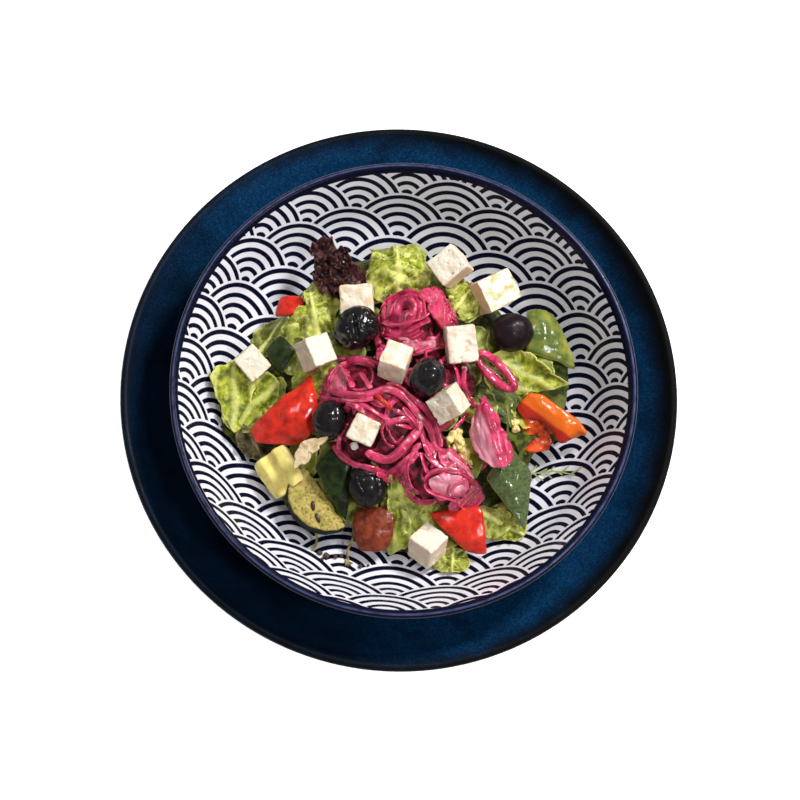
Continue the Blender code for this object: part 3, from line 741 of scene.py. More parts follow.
# ---- dishes -------------------------------------------------------------
def dish_section(floor_radius, floor_height, curve_radius, slope, rim_radius,
                 wall, foot):
    """Half section of a dish as (radius, height), and where its lip starts."""
    def on_curve(radius, angle):
        return (floor_radius + radius * math.sin(angle),
                floor_height + curve_radius - radius * math.cos(angle))

    angles = [slope * step / CURVE_STEPS for step in range(CURVE_STEPS + 1)]
    section = [(0.0, floor_height), (floor_radius / 2.0, floor_height)]
    section += [on_curve(curve_radius, angle) for angle in angles]
    half = wall / 2.0
    along = Vector((math.cos(slope), math.sin(slope)))
    inward = Vector((-math.sin(slope), math.cos(slope)))
    lip_radius = rim_radius - half
    reach = (lip_radius - half * math.sin(slope) - section[-1][0]) / math.cos(slope)
    reach = max(0.0, reach)
    inner_end = Vector(section[-1]) + reach * along
    if reach > wall:
        section.append(tuple(inner_end))
    lip_start = len(section) - 1
    middle = inner_end - half * inward
    for step in range(1, 2 * LIP_STEPS):
        turn = math.pi / 2.0 - math.pi * step / (2 * LIP_STEPS)
        section.append(tuple(middle + half * (math.sin(turn) * inward
                                              + math.cos(turn) * along)))
    if reach > wall:
        section.append(tuple(middle - half * inward))
    section += [on_curve(curve_radius + wall, angle) for angle in reversed(angles)]
    under = floor_height - wall
    foot_in, foot_out, foot_height = foot
    section += [(foot_out, under), (foot_out - FOOT_TAPER, foot_height),
                (foot_in, foot_height), (foot_in - FOOT_TAPER, under), (0.0, under)]
    return section, lip_start


def spun_dish(section, centre):
    """Spin a half section into a closed dish that knows its arc lengths."""
    bm = bmesh.new()
    arc = bm.verts.layers.float.new("arc")
    verts = [bm.verts.new((radius, 0.0, height)) for radius, height in section]
    for before, after in zip(verts, verts[1:]):
        after[arc] = before[arc] + (after.co - before.co).length
        bm.edges.new((before, after))
    bmesh.ops.spin(bm, geom=bm.verts[:] + bm.edges[:], cent=(0.0, 0.0, 0.0),
                   axis=(0.0, 0.0, 1.0), angle=math.tau, steps=ROUND_SEGMENTS,
                   use_merge=True)
    bmesh.ops.remove_doubles(bm, verts=bm.verts[:], dist=0.005 * MM)
    bmesh.ops.recalc_face_normals(bm, faces=bm.faces[:])
    bmesh.ops.translate(bm, verts=bm.verts[:], vec=centre)
    return bm


class SALAD_OT_underplate(Operator):
    """Turn the blue underplate"""
    bl_idname = "salad.underplate"
    bl_label = "Underplate"

    def execute(self, context):
        section, _ = dish_section(PLATE_FLOOR_RADIUS, PLATE_FLOOR_HEIGHT,
                                  PLATE_CURVE_RADIUS, PLATE_SLOPE, PLATE_RIM_RADIUS,
                                  PLATE_WALL, PLATE_FOOT)
        bm = spun_dish(section, Vector((0.0, 0.0, 0.0)))
        add_piece("glazed_underplate", bm, "blue_glaze", ["underplate"],
                  blue_glaze(looks("dishes")))
        return {"FINISHED"}


class SALAD_OT_bowl(Operator):
    """Turn the bowl and lay out its wave pattern"""
    bl_idname = "salad.bowl"
    bl_label = "Bowl"

    def execute(self, context):
        chosen = looks("dishes")
        section, lip_start = dish_section(BOWL_FLOOR_RADIUS, BOWL_FLOOR_HEIGHT,
                                          BOWL_CURVE_RADIUS, BOWL_SLOPE,
                                          BOWL_RIM_RADIUS, BOWL_WALL, BOWL_FOOT)
        bm = spun_dish(section, BOWL_CENTRE)
        arc = bm.verts.layers.float["arc"]
        layout = uv_layer(bm)
        steps = [math.dist(a, b) for a, b in zip(section, section[1:])]
        lip_arc = sum(steps[:lip_start])
        outside_arc = sum(steps[:lip_start + LIP_STEPS])
        turn = Matrix.Rotation(-chosen.wave_turn, 2)
        shift = Vector((chosen.wave_x, chosen.wave_y))
        for face in bm.faces:
            furthest = max(vert[arc] for vert in face.verts)
            face.material_index = 1 if furthest > outside_arc else 0
            for loop in face.loops:
                flat = (loop.vert.co - BOWL_CENTRE).to_2d()
                if flat.length > 0.0:
                    flat = flat.normalized() * loop.vert[arc]
                loop[layout].uv = turn @ (flat - shift) / chosen.wave_radius
        inside = wave_glaze(chosen, lip_arc - chosen.lip_depth,
                            lip_arc + BOWL_WALL * 0.6)
        add_piece("glazed_bowl", bm, "wave_glaze", ["bowl"], inside,
                  navy_glaze(chosen))
        return {"FINISHED"}


# ---- toppings as close copies -------------------------------------------
def up_face(bm):
    """The direction that a slab's upper face looks in."""
    total = Vector((0.0, 0.0, 0.0))
    for face in bm.faces:
        if face.normal.z > 0.35:
            total += face.normal * face.calc_area()
    return total.normalized()


# Oil stains on the feta: colour, amount and onset, and the blocks that have them.
FETA_STAINS = {
    "clean": ((0.74, 0.60, 0.34), 0.35, 0.54),
    "pink": ((0.78, 0.50, 0.38), 0.8, 0.42),
    "green": ((0.62, 0.52, 0.18), 0.95, 0.50),
    "warm": ((0.78, 0.60, 0.38), 0.8, 0.42),
}
STAINED_FETA = {2: "green", 3: "pink", 4: "warm", 5: "warm", 6: "warm", 9: "warm"}
# Blocks that lie lower than the rest of their relief, in millimetres.
FETA_TRIM = {2: 0.9, 5: 0.9}


class SALAD_OT_feta(Operator):
    """Crumbly blocks of feta"""
    bl_idname = "salad.feta"
    bl_label = "Feta"

    def execute(self, context):
        chosen = looks("toppings")
        finishes = {kind: feta_finish(f"feta_{kind}", chosen, *stain)
                    for kind, stain in FETA_STAINS.items()}
        for number in range(1, 11):
            node = f"feta_{number}"
            seed = 3.1 * number
            trim = FETA_TRIM.get(number, 0.3)
            bm = close_copy(node, FETA_GRAIN, 1)

            def crumble(place, normal, seed=seed, trim=trim):
                swell = 0.55 * wave(place, 5.0 * MM, seed)
                grain = 0.16 * wave(place, 1.6 * MM, seed)
                fine = 0.08 * wave(place, 0.8 * MM, seed)
                pit = blend(0.40, 0.62, wave(place, 2.6 * MM, seed + 9.0))
                return (swell + grain + fine - 0.6 * pit - trim) * MM

            raise_relief(bm, crumble)
            # Painted shade on the sides, in patches.
            paint(bm, "soaked", lambda place, normal: blend(0.85, 0.50, normal.z)
                  * blend(-0.9, 0.1, wave(place, 6.0 * MM)))
            add_piece(f"feta_block_{number}", bm, "feta", [node],
                      finishes[STAINED_FETA.get(number, "clean")])
        return {"FINISHED"}


# Olives: how far each skin is swollen and how deep it is cracked, in millimetres.
OLIVE_SKINS = {1: (1.2, 1.0), 2: (0.75, 0.0), 3: (0.2, 0.0), 4: (1.1, 0.3), 5: (0.75, 0.9)}


class SALAD_OT_olives(Operator):
    """Black olives, one of them slit"""
    bl_idname = "salad.olives"
    bl_label = "Olives"

    def execute(self, context):
        chosen = looks("toppings")
        glossy = olive_finish("olive_glossy", chosen, chosen.olive, 0.22, 0.6)
        dull = olive_finish("olive_dull", chosen, chosen.olive, 0.3, 0.3)
        purple = olive_finish("olive_purple", chosen, (0.014, 0.006, 0.009), 0.34, 0.08)
        finishes = (glossy, purple, glossy, glossy, dull)
        for number, finish in enumerate(finishes, 1):
            node = f"olive_{number}"
            bm = close_copy(node, VEG_GRAIN, 8, rounded=True)
            low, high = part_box(node)
            slit_middle = low.lerp(high, 0.5) + Vector((0.0, -1.0, 0.0)) * MM
            swell, crack = OLIVE_SKINS[number]

            def skin_height(place, normal, number=number, middle=slit_middle,
                            swell=swell, crack=crack):
                height = swell + 0.42 * wave(place, 5.0 * MM, number)
                height += 0.14 * wave(place, 2.4 * MM, number)
                fold = abs(wave(place, 7.0 * MM, number + 4.0))
                height -= crack * (1.0 - blend(0.0, 0.22, fold))
                if number == 1 and normal.z > 0.0:
                    across = (place - middle).x + 0.25 * (place - middle).y
                    along = (place - middle).y
                    width = 1.0 - blend(3.5 * MM, 7.0 * MM, abs(along))
                    groove = 1.0 - blend(0.2 * MM, 1.3 * MM, abs(across))
                    height -= 2.0 * groove * width
                return height * MM

            raise_relief(bm, skin_height)
            add_piece(f"olive_skin_{number}", bm, "olive", [node], finish)
        return {"FINISHED"}


def pull(bm, handles):
    """Draw a shape out softly by handles (x, y, move x, move y, reach) in mm."""
    for vert in bm.verts:
        moved = Vector()
        for x, y, move_x, move_y, reach in handles:
            away = (vert.co.to_2d() - Vector((x, y)) * MM).length / (reach * MM)
            moved += Vector((move_x, move_y, 0.0)) * MM * math.exp(-away * away)
        vert.co += moved


def vegetable(name, node, slot, finish, seed, relief=0.5, wrinkle=8.0 * MM,
              edge=(0.30, 0.62), softness=16, handles=(), bumps=(), bare=None):
    """A slab of vegetable with a glossy upper face and cut edges.

    Handles draw its outline out, see pull.  Bumps (x, y, height, reach) swell
    its top.  Past bare (x, y, direction in degrees, reach) it has lost its skin.
    """
    bm = close_copy(node, VEG_GRAIN, softness)
    upward = up_face(bm)
    pull(bm, handles)

    def lumps(place, normal):
        height = relief * wave(place, wrinkle, seed)
        height += 0.35 * relief * wave(place, wrinkle * 0.36, seed)
        for x, y, tall, reach in bumps:
            away = (place.to_2d() - Vector((x, y)) * MM).length / (reach * MM)
            height += tall * math.exp(-away * away)
        return height * MM

    def skin_share(place, normal):
        share = blend(edge[0], edge[1], normal.dot(upward))
        if bare:
            x, y, turn, reach = bare
            across = Vector((math.cos(math.radians(turn)), math.sin(math.radians(turn))))
            beyond = (place.to_2d() - Vector((x, y)) * MM).dot(across)
            beyond += 0.3 * MM * wave(place, 4.0 * MM, seed)
            share *= 1.0 - blend(0.0, reach * MM, beyond)
        return share

    paint(bm, "skin", skin_share)
    raise_relief(bm, lumps)
    add_piece(name, bm, slot, [node], finish)


class SALAD_OT_peppers(Operator):
    """Red, orange, roasted, green and yellow pepper"""
    bl_idname = "salad.peppers"
    bl_label = "Peppers"

    def execute(self, context):
        chosen = looks("toppings")
        red = skinned_finish("red_pepper", chosen.red, chosen.red_shade,
                             (0.62, 0.060, 0.028))
        fold = skinned_finish("pepper_fold", (0.90, 0.11, 0.012),
                              (0.50, 0.024, 0.006), (0.62, 0.05, 0.012), 0.3,
                              patch=3.0 * MM)
        orange = skinned_finish("orange_pepper", chosen.orange, (0.84, 0.14, 0.010),
                                (0.48, 0.022, 0.008), patch=3.0 * MM)
        roasted = skinned_finish("roasted_pepper", chosen.roasted,
                                 (0.13, 0.014, 0.005), (0.34, 0.10, 0.03), 0.5,
                                 0.2, patch=3.5 * MM)
        green = skinned_finish("green_pepper", chosen.green, (0.045, 0.080, 0.018),
                               (0.30, 0.36, 0.10), 0.14, 1.0, patch=1.6 * MM,
                               dents=1.4 * MM)
        olive_green = skinned_finish("pepper_pale", (0.09, 0.14, 0.025),
                                     (0.34, 0.33, 0.06), (0.42, 0.45, 0.14), 0.22,
                                     patch=11.0 * MM)
        yellow = skinned_finish("yellow_pepper", chosen.yellow, (0.80, 0.60, 0.16),
                                (0.90, 0.74, 0.38), 0.4, 0.1)
        vegetable("pepper_left", "red_pepper_left", "red_pepper", red, 1.0,
                  handles=((-45, -3, 0, 4.5, 6), (-39, -20, 0, -4, 8),
                           (-47, -39, 1, 3, 6), (-68, -35, -2.5, -2.5, 7)),
                  bumps=((-45, -12, 1.6, 3.5), (-47, -24, 1.4, 3.0),
                         (-55, -23, 1.0, 2.2), (-58, -12, 0.8, 4.0)))
        vegetable("pepper_front", "red_pepper_front", "red_pepper", red, 2.0)
        vegetable("pepper_back", "red_pepper_back", "red_pepper", red, 3.0)
        vegetable("pepper_fold", "orange_pepper_fold", "red_pepper", fold, 4.0,
                  handles=((89, -21, -8, 0.5, 8), (77, -28, -1, 2, 6),
                           (64, -27, -1, 1.5, 6), (64, -16, -4, 0, 9)),
                  bumps=((77, -17, -1.5, 2.5), (68, -22, 1.4, 3.5), (67, -12, 2.5, 6)))
        vegetable("pepper_strip", "orange_pepper_strip", "orange_pepper", orange, 5.0,
                  handles=((66, 4, 0.5, -2.5, 5), (99, -14, -1.5, -1.5, 5),
                           (93, -21, 1.0, 3.5, 4), (84, -17, 0, -5, 5),
                           (65, -7, -1.5, -3.5, 6)),
                  bumps=((72, -2, 1.0, 4.0), (84, -12, 1.2, 5.0)),
                  bare=(76, -9, -120, 5.0))
        vegetable("pepper_roasted", "roasted_pepper", "roasted_pepper", roasted, 6.0,
                  relief=0.6, wrinkle=6.0 * MM)
        vegetable("pepper_green_front", "green_pepper_front", "green_pepper", green, 7.0,
                  relief=0.8, wrinkle=9.0 * MM,
                  bumps=((53, -43, 1.7, 3.6), (60, -49, 1.7, 3.6), (64, -56, 0.9, 2.0),
                         (66, -39, 1.6, 3.4)))
        vegetable("pepper_green_back", "green_pepper_back", "green_pepper",
                  olive_green, 8.0)
        vegetable("pepper_yellow", "yellow_pepper", "yellow_pepper", yellow, 9.0,
                  relief=0.6, softness=8)
        return {"FINISHED"}


class SALAD_OT_greens(Operator):
    """Cucumber skins and the grilled courgette"""
    bl_idname = "salad.greens"
    bl_label = "Cucumber and courgette"

    def execute(self, context):
        chosen = looks("toppings")
        skin = skinned_finish("cucumber_skin", (0.024, 0.044, 0.007), (0.005, 0.010, 0.003),
                              (0.16, 0.20, 0.05), 0.34, 0.1, patch=4.0 * MM)
        vegetable("cucumber_strip_front", "cucumber_front", "cucumber", skin, 11.0)
        vegetable("cucumber_strip_back", "cucumber_back", "cucumber", skin, 12.0)
        vegetable("courgette_half", "courgette_slice", "courgette",
                  courgette_finish(chosen), 13.0, relief=0.7, wrinkle=4.0 * MM,
                  edge=(0.70, 0.30))
        return {"FINISHED"}


# ---- leaves -------------------------------------------------------------
PLEAT_SPACING = 8.5      # millimetres from crest to crest


def outline_reach(points, turn):
    """Radius and lift of a star-shaped outline in one direction."""
    for (turn_a, reach_a, lift_a), (turn_b, reach_b, lift_b) in zip(points, points[1:]):
        if turn_a <= turn <= turn_b:
            part = blend(turn_a, turn_b, turn)
            return (reach_a + (reach_b - reach_a) * part,
                    lift_a + (lift_b - lift_a) * part)
    raise ValueError("an outline has to run all the way round")


def polar_outline(corners):
    """Corners (x, y, lift) in millimetres as a middle and sorted directions."""
    middle = Vector((sum(c[0] for c in corners), sum(c[1] for c in corners)))
    middle = middle / len(corners) * MM
    spokes = []
    for x, y, lift in corners:
        away = Vector((x, y)) * MM - middle
        spokes.append((math.atan2(away.y, away.x), away.length, lift * MM))
    spokes.sort()
    first, last = spokes[0], spokes[-1]
    spokes.insert(0, (last[0] - math.tau, last[1], last[2]))
    spokes.append((first[0] + math.tau, first[1], first[2]))
    return middle, spokes


def add_leaf(bm, corners, seed, ground, cuts=44, rise=1.5, ruffle=1.6,
             crinkle=1.6, blister=0.8, cell=3.6, rib_turn=None, tone=0.0,
             ripple=None, pleat=0.0, rag=1.0):
    """Add one crinkled leaf whose outline is a ring of (x, y, lift) corners.

    Heights are in millimetres over the ground.  The ruffle grows towards the
    edge, blisters stand between veins, a ripple is (x, y, spacing, depth) and
    pleats run along the rib in place of the blisters.
    """
    middle, spokes = polar_outline(corners)
    blisters, ribs, tones = [point_layer(bm, name)
                             for name in ("blister", "rib", "tone")]
    layout = uv_layer(bm)
    made = bmesh.ops.create_grid(bm, x_segments=cuts, y_segments=cuts, size=1.0)
    lay_uv(layout, made["verts"], lambda vert: vert.co.to_2d())
    if rib_turn is not None:
        rib_way = Vector((math.cos(rib_turn), math.sin(rib_turn)))
    for vert in made["verts"]:
        square = vert.co.to_2d()
        t = max(abs(square.x), abs(square.y))
        turn = math.atan2(square.y, square.x)
        reach, lift = outline_reach(spokes, turn)
        rim = Vector((math.cos(turn), math.sin(turn), seed))
        ragged = 1.0 + rag * (0.08 * noise.noise(rim * 2.2)
                              + 0.05 * noise.noise(rim * 7.0))
        flat = middle + rim.to_2d() * (t * reach * ragged)
        spot = Vector((flat.x, flat.y, seed * 0.01))
        near, next_near = noise.voronoi(spot / (cell * MM))[0][:2]
        dome = blend(0.02, 0.42, next_near - near)
        fold = 1.0 - 3.2 * abs(wave(spot, 11.0 * MM, seed))
        if pleat:
            along = t * rim.to_2d().cross(rib_way) * reach / MM
            along += 2.5 * wave(spot, 16.0 * MM, seed)
            crest = 0.5 + 0.5 * math.cos(along / PLEAT_SPACING * math.tau)
            # Pleat crests get little blister, so they come out pale: a painted highlight.
            dome = 0.32 - 0.22 * crest
            fold = 2.0 * crest - 1.0
            height = rise + pleat * crest + 0.5 * wave(spot, 5.0 * MM, seed)
        else:
            height = rise + crinkle * fold + 0.4 * crinkle * wave(spot, 4.0 * MM, seed)
            height += blister * dome * (1.0 - 0.35 * t)
        frill = math.sin(9.0 * turn + 4.0 * noise.noise(rim * 1.5) + seed)
        height += ruffle * t ** 4 * frill
        if ripple:
            away = math.hypot(flat.x / MM - ripple[0], flat.y / MM - ripple[1])
            height -= ripple[3] * math.cos(away / ripple[2] * math.tau)
        # Paler at the rim, and on fold crests as a painted highlight; the stalk below is
        # the leaf's own pale rib.
        rib = 0.45 * blend(0.90, 1.0, t) + 0.25 * blend(0.2, 0.9, fold)
        if rib_turn is not None and not pleat:
            along = t * rim.to_2d().dot(rib_way)
            across = abs(t * rim.to_2d().cross(rib_way))
            stalk = 1.0 - blend(0.02, 0.13 - 0.08 * along, across)
            rib = max(rib, 0.9 * stalk)
            height += 0.6 * stalk
        level = max(0.0, height) * MM + lift * t ** 1.6
        vert.co = Vector((flat.x, flat.y, ground(flat.x, flat.y) + level))
        vert[blisters] = dome
        vert[ribs] = rib
        vert[tones] = min(1.0, max(0.0, tone + 0.35 * wave(spot, 12.0 * MM, seed)))


# Leaves that can be told apart: outline as (x, y, lift) in millimetres, then
# how far it stands up, its ruffle, its rib's direction in degrees, its tone,
# a darkening that is painted shade on leaves lying low between pieces, and its pleats.
NAMED_LEAVES = {
    "leaf_back": (((-22, 73, 4), (-19, 70, 4), (-11, 71, 4), (-4, 75, 4), (2, 77, 5),
                   (8, 76, 5), (7, 71, 5), (7, 66, 4), (10, 60, 3), (11, 54, 1),
                   (8, 48, 0), (-4, 42, 0), (-15, 42, 0), (-20, 46, 1), (-24, 51, 2),
                   (-23, 57, 3), (-21, 62, 4)), 2.6, 2.4, 100, -0.1, 0.0),
    "leaf_left": (((-96, -4, 3), (-93, 2, 4), (-87, 6, 3), (-80, 4, 2), (-75, -4, 1),
                   (-75, -12, 0), (-77, -20, 0), (-79, -28, 0), (-82, -32, 0),
                   (-86, -26, 1), (-90, -18, 2), (-94, -11, 3)),
                  2.8, 0.6, 97, -0.25, 2.0),
    "leaf_left_fold": (((-73, -3, 1), (-68, 1, 2), (-63, -2, 1), (-62, -10, 1),
                        (-65, -16, 0), (-72, -22, 0), (-78, -28, 0), (-82, -24, 0),
                        (-78, -17, 0), (-74, -10, 0)), 2.6, 0.8, 50, 0.0, 1.6),
    "leaf_back_left": (((-49, 50, 5), (-53, 44, 4), (-52, 37, 2), (-58, 32, 2),
                        (-64, 23, 1), (-52, 19, 0), (-39, 22, 0), (-36, 33, 1),
                        (-35, 40, 2), (-43, 44, 4)), 2.8, 1.6, 105, -0.05, 0.0),
    "leaf_right": (((44, 19, 3), (49, 22, 5), (55, 24, 6), (62, 22, 6), (69, 17, 6),
                    (76, 12, 5), (86, 10, 3), (79, 6, 1), (73, 4, 0), (67, 2, 0),
                    (61, 1, 0), (56, 5, 0), (51, 12, 1)), 2.4, 0.5, 155, -0.05, 0.9),
    "leaf_front": (((1, -46, 1), (7, -53, 2), (13, -57, 2), (21, -60, 2), (22, -65, 1),
                    (18, -71, 0), (13, -76, 0), (9, -83, 0), (2, -85, 0), (0, -78, 0),
                    (2, -68, 1), (0, -58, 1)), 2.2, 1.0, 285, 0.35, 0.8),
    "leaf_front_right": (((46, -57, 0), (54, -58, 0), (62, -61, 1), (70, -67, 1),
                          (68, -72, 0), (60, -73, 0), (52, -72, 0)),
                         1.4, 1.6, 335, 0.45, 0.0),
    "leaf_frilly": (((20, 55, 1), (26, 58, 2), (32, 56, 2), (36, 49, 1), (38, 41, 0),
                     (32, 35, 0), (25, 38, 0), (21, 46, 0)), 2.0, 2.8, 60, 0.35, 0.0),
    "leaf_under_ring": (((27, 20, 0), (36, 21, 0), (46, 14, 0), (55, 4, 1), (62, -4, 1),
                         (62, -13, 0), (50, -13, 0), (40, -5, 0), (31, 5, 0)),
                        1.6, 1.4, 330, 0.9, 0.0),
    "leaf_by_petal": (((54, -1, 0), (58, -1, 1), (58, -11, 1), (56, -19, 0), (55, -25, 0),
                       (55, -18, 0), (52, -9, 0)), 1.6, 1.4, 280, 1.0, 0.0),
    "leaf_by_skin": (((-70, 32, 1), (-76, 28, 1), (-80, 21, 0), (-80, 14, 0), (-72, 10, 0),
                      (-64, 14, 0), (-60, 22, 0), (-60, 30, 1)), 1.2, 1.2, 60, 0.95, 0.0),
    "leaf_by_feta": (((24, -88, 0), (30, -81, 0), (40, -81, 0), (43, -87, 1),
                      (34, -92, 1)), 1.0, 1.2, 270, 0.4, 0.0),
    "leaf_brown": (((-80, -27, 0), (-74, -28, 1), (-68, -34, 0), (-61, -35, 0),
                    (-63, -40, 0), (-69, -43, 0), (-76, -41, 0), (-81, -34, 0)),
                   0.5, 2.6, 300, 0.9, 0.0),
}


class SALAD_OT_leaf_bed(Operator):
    """The heap's core under the leaves, toned dark as painted shade in the gaps between
    them
    """
    bl_idname = "salad.leaf_bed"
    bl_label = "Leaf bed"

    def execute(self, context):
        chosen = looks("leaves")
        bm = close_copy("salad_leaves", CORE_GRAIN, 2)

        def folds(place, normal):
            crease = noise.ridged_multi_fractal(place / (13.0 * MM), 1.0, 2.0, 3.0,
                                                1.0, 2.0)
            return -CORE_SINK - (0.6 * crease - 0.4) * MM

        raise_relief(bm, folds)
        for vert in bm.verts:
            vert.co.z = max(vert.co.z, bowl_inside(vert.co.x, vert.co.y) + 0.3 * MM)
        bm.normal_update()
        paint(bm, "blister", lambda place, normal: blend(-0.3, 0.5,
                                                         wave(place, 4.0 * MM)))
        # Painted shade: the whole core is toned dark.
        paint(bm, "tone", lambda place, normal: 0.85)
        finish = leaf_finish("leaf_shade", chosen.green, chosen.dark,
                             (0.020, 0.034, 0.006), 0.5)
        add_piece("leaf_core", bm, "leaf", ["salad_leaves"], finish)
        return {"FINISHED"}


# Small leaves lie on a spiral over the heap and keep off the folded pepper.
SPIRAL_TURN = math.radians(137.5)
SPIRAL_REACH = 84.0
FOLD_PLACE = (62.0, -24.0)
FOLD_CLEARANCE = 14.0
LOW_HEAP = 2.0 * MM            # no small leaf where the heap is thinner than this


class SALAD_OT_lettuce(Operator):
    """Crinkled lettuce leaves over the heap"""
    bl_idname = "salad.lettuce"
    bl_label = "Lettuce"

    def execute(self, context):
        chosen = looks("leaves")
        green = leaf_finish("lettuce", chosen.pale, chosen.green, chosen.dark)
        worn = leaf_finish("leaf_worn", (0.46, 0.38, 0.18), (0.20, 0.17, 0.06),
                           (0.06, 0.045, 0.02))
        # A darker finish: painted shade for the leaves low under the ring and by the petal.
        shaded = leaf_finish("leaf_shaded", (0.22, 0.26, 0.07), (0.10, 0.14, 0.026),
                             (0.045, 0.065, 0.012))
        finishes = {"leaf_brown": worn, "leaf_under_ring": shaded,
                    "leaf_by_petal": shaded}
        for index, (name, leaf) in enumerate(NAMED_LEAVES.items()):
            corners, rise, ruffle, rib, tone, pleat = leaf
            bm = bmesh.new()
            add_leaf(bm, corners, 3.0 + index, soft_ground, rise=rise, ruffle=ruffle,
                     rib_turn=math.radians(rib), tone=tone, pleat=pleat)
            add_sheet(name, bm, chosen.thickness, "leaf", None,
                      finishes.get(name, green))
        bm = bmesh.new()
        self.add_small_leaves(bm, chosen.small_leaves)
        add_sheet("lettuce_pieces", bm, chosen.thickness, "leaf", None, green)
        return {"FINISHED"}

    def add_small_leaves(self, bm, count):
        dice = random.Random(41)
        for index in range(count):
            turn = index * SPIRAL_TURN
            reach = SPIRAL_REACH * math.sqrt((index + 0.5) / count)
            x = BOWL_CENTRE.x / MM + reach * math.cos(turn)
            y = BOWL_CENTRE.y / MM + reach * math.sin(turn)
            size = dice.uniform(8.0, 14.0)
            corners = []
            for step in range(7):
                angle = math.tau * step / 7.0 + dice.uniform(-0.25, 0.25)
                away = size * dice.uniform(0.7, 1.2)
                corners.append((x + away * math.cos(angle), y + away * math.sin(angle),
                                dice.uniform(-0.5, 2.5)))
            heights = [leaf_top(a * MM, b * MM) - bowl_inside(a * MM, b * MM)
                       for a, b, _ in corners]
            if min(heights) < LOW_HEAP:
                continue
            tone = dice.choice((0.2, 0.5, 0.7, 0.95))
            if math.dist((x, y), FOLD_PLACE) < FOLD_CLEARANCE:
                continue
            add_leaf(bm, corners, 30.0 + index, soft_ground, cuts=18, rise=0.4,
                     ruffle=1.2, tone=tone)


# Layers of the dark leaf: outline as (x, y, lift), height and tone.
DARK_LAYERS = (
    (((-50, 60, 0), (-43, 65, 0), (-35, 64, 0), (-29, 58, 0), (-24, 50, 0), (-24, 45, 0),
      (-31, 44, 0), (-38, 42, 0), (-44, 46, 0), (-48, 52, 0)), 0.0, 0.7),
    (((-53, 67, 3), (-49, 71, 4), (-43, 72, 4), (-40, 67, 3), (-42, 61, 1), (-46, 58, 0),
      (-51, 62, 2)), 2.4, -0.2),
    (((-41, 66, 2), (-35, 65, 4), (-31, 61, 4), (-31, 55, 2), (-37, 55, 0),
      (-42, 60, 0)), 2.6, 0.3),
    (((-32, 58, 1), (-27, 57, 3), (-22, 50, 3), (-22, 45, 2), (-29, 45, 1),
      (-34, 50, 0)), 2.2, 0.1),
    (((-49, 53, 2), (-45, 56, 1), (-40, 50, 0), (-37, 43, 1), (-42, 42, 3),
      (-47, 46, 3)), 2.0, 0.2),
)


class SALAD_OT_dark_leaf(Operator):
    """Frilly dark red lettuce at the back"""
    bl_idname = "salad.dark_leaf"
    bl_label = "Dark leaf"

    def execute(self, context):
        chosen = looks("leaves")
        finish = leaf_finish("dark_lettuce", chosen.maroon_pale, chosen.maroon,
                             (0.012, 0.005, 0.006), 0.3)
        low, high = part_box("dark_leaf")
        middle = (low + high) / 2.0
        half = (high - low) / 2.0
        bm = bmesh.new()

        def seat(x, y):
            away = Vector(((x - middle.x) / half.x, (y - middle.y) / half.y))
            dome = max(0.0, 1.0 - 0.75 * away.length_squared)
            return low.z + (high.z - low.z) * (0.30 + 0.36 * dome)

        for layer, (corners, rise, tone) in enumerate(DARK_LAYERS):
            add_leaf(bm, corners, 60.0 + layer, seat, cuts=60, rise=rise, ruffle=3.4,
                     crinkle=2.2, blister=1.2, cell=3.0, tone=tone)
        add_sheet("dark_lettuce", bm, chosen.thickness, "dark_leaf", ["dark_leaf"],
                  finish)
        return {"FINISHED"}


# ---- onion --------------------------------------------------------------
def smooth_path(points, steps):
    """Points on a soft curve through a few given ones."""
    curve = []
    count = len(points) - 1
    for step in range(steps + 1):
        spot = step / steps * count
        index = min(count - 1, int(spot))
        part = spot - index
        before = points[max(0, index - 1)]
        start = points[index]
        end = points[index + 1]
        after = points[min(count, index + 2)]
        slope_a = (end - before) / 2.0
        slope_b = (after - start) / 2.0
        square, cube = part * part, part ** 3
        curve.append((2.0 * cube - 3.0 * square + 1.0) * start
                     + (cube - 2.0 * square + part) * slope_a
                     + (3.0 * square - 2.0 * cube) * end + (cube - square) * slope_b)
    return curve


def add_strand(bm, path, width, thickness, tilt, seed):
    """Sweep a flat rounded ribbon along a path, closing it at both ends."""
    steps = len(path) - 1
    layout = uv_layer(bm)
    made = bmesh.ops.create_grid(bm, x_segments=steps, y_segments=STRAND_SIDES,
                                 size=1.0)
    lay_uv(layout, made["verts"], lambda vert: ((vert.co.x + 1.0) / 2.0 + 0.37 * seed,
                                                (vert.co.y + 1.0) / 2.0 + 0.61 * seed))
    for vert in made["verts"]:
        share = (vert.co.x + 1.0) / 2.0
        index = min(steps, round(share * steps))
        before = path[max(0, index - 1)]
        after = path[min(steps, index + 1)]
        forward = (after - before).normalized()
        side = forward.cross(Vector((0.0, 0.0, 1.0))).normalized()
        lean = tilt + 0.5 * noise.noise(Vector((share * 3.0, seed, 0.0)))
        turn = Matrix.Rotation(lean, 3, forward)
        side = turn @ side
        upward = side.cross(forward)
        ends = min(1.0, math.sqrt(max(0.0, 1.0 - abs(2.0 * share - 1.0) ** 8)))
        angle = vert.co.y * math.pi
        wide = width / 2.0 * ends * (1.0 + 0.18 * noise.noise(
            Vector((share * 5.0, seed, 3.0))))
        thick = thickness / 2.0 * ends
        crease = 1.0 - 0.35 * math.exp(-(math.cos(angle) / 0.35) ** 2)
        vert.co = (path[index] + side * (wide * math.cos(angle))
                   + upward * (thick * crease * math.sin(angle)))


def close_strands(bm):
    """Join the seams of swept ribbons."""
    bmesh.ops.remove_doubles(bm, verts=bm.verts[:], dist=0.004 * MM)
    bmesh.ops.recalc_face_normals(bm, faces=bm.faces[:])


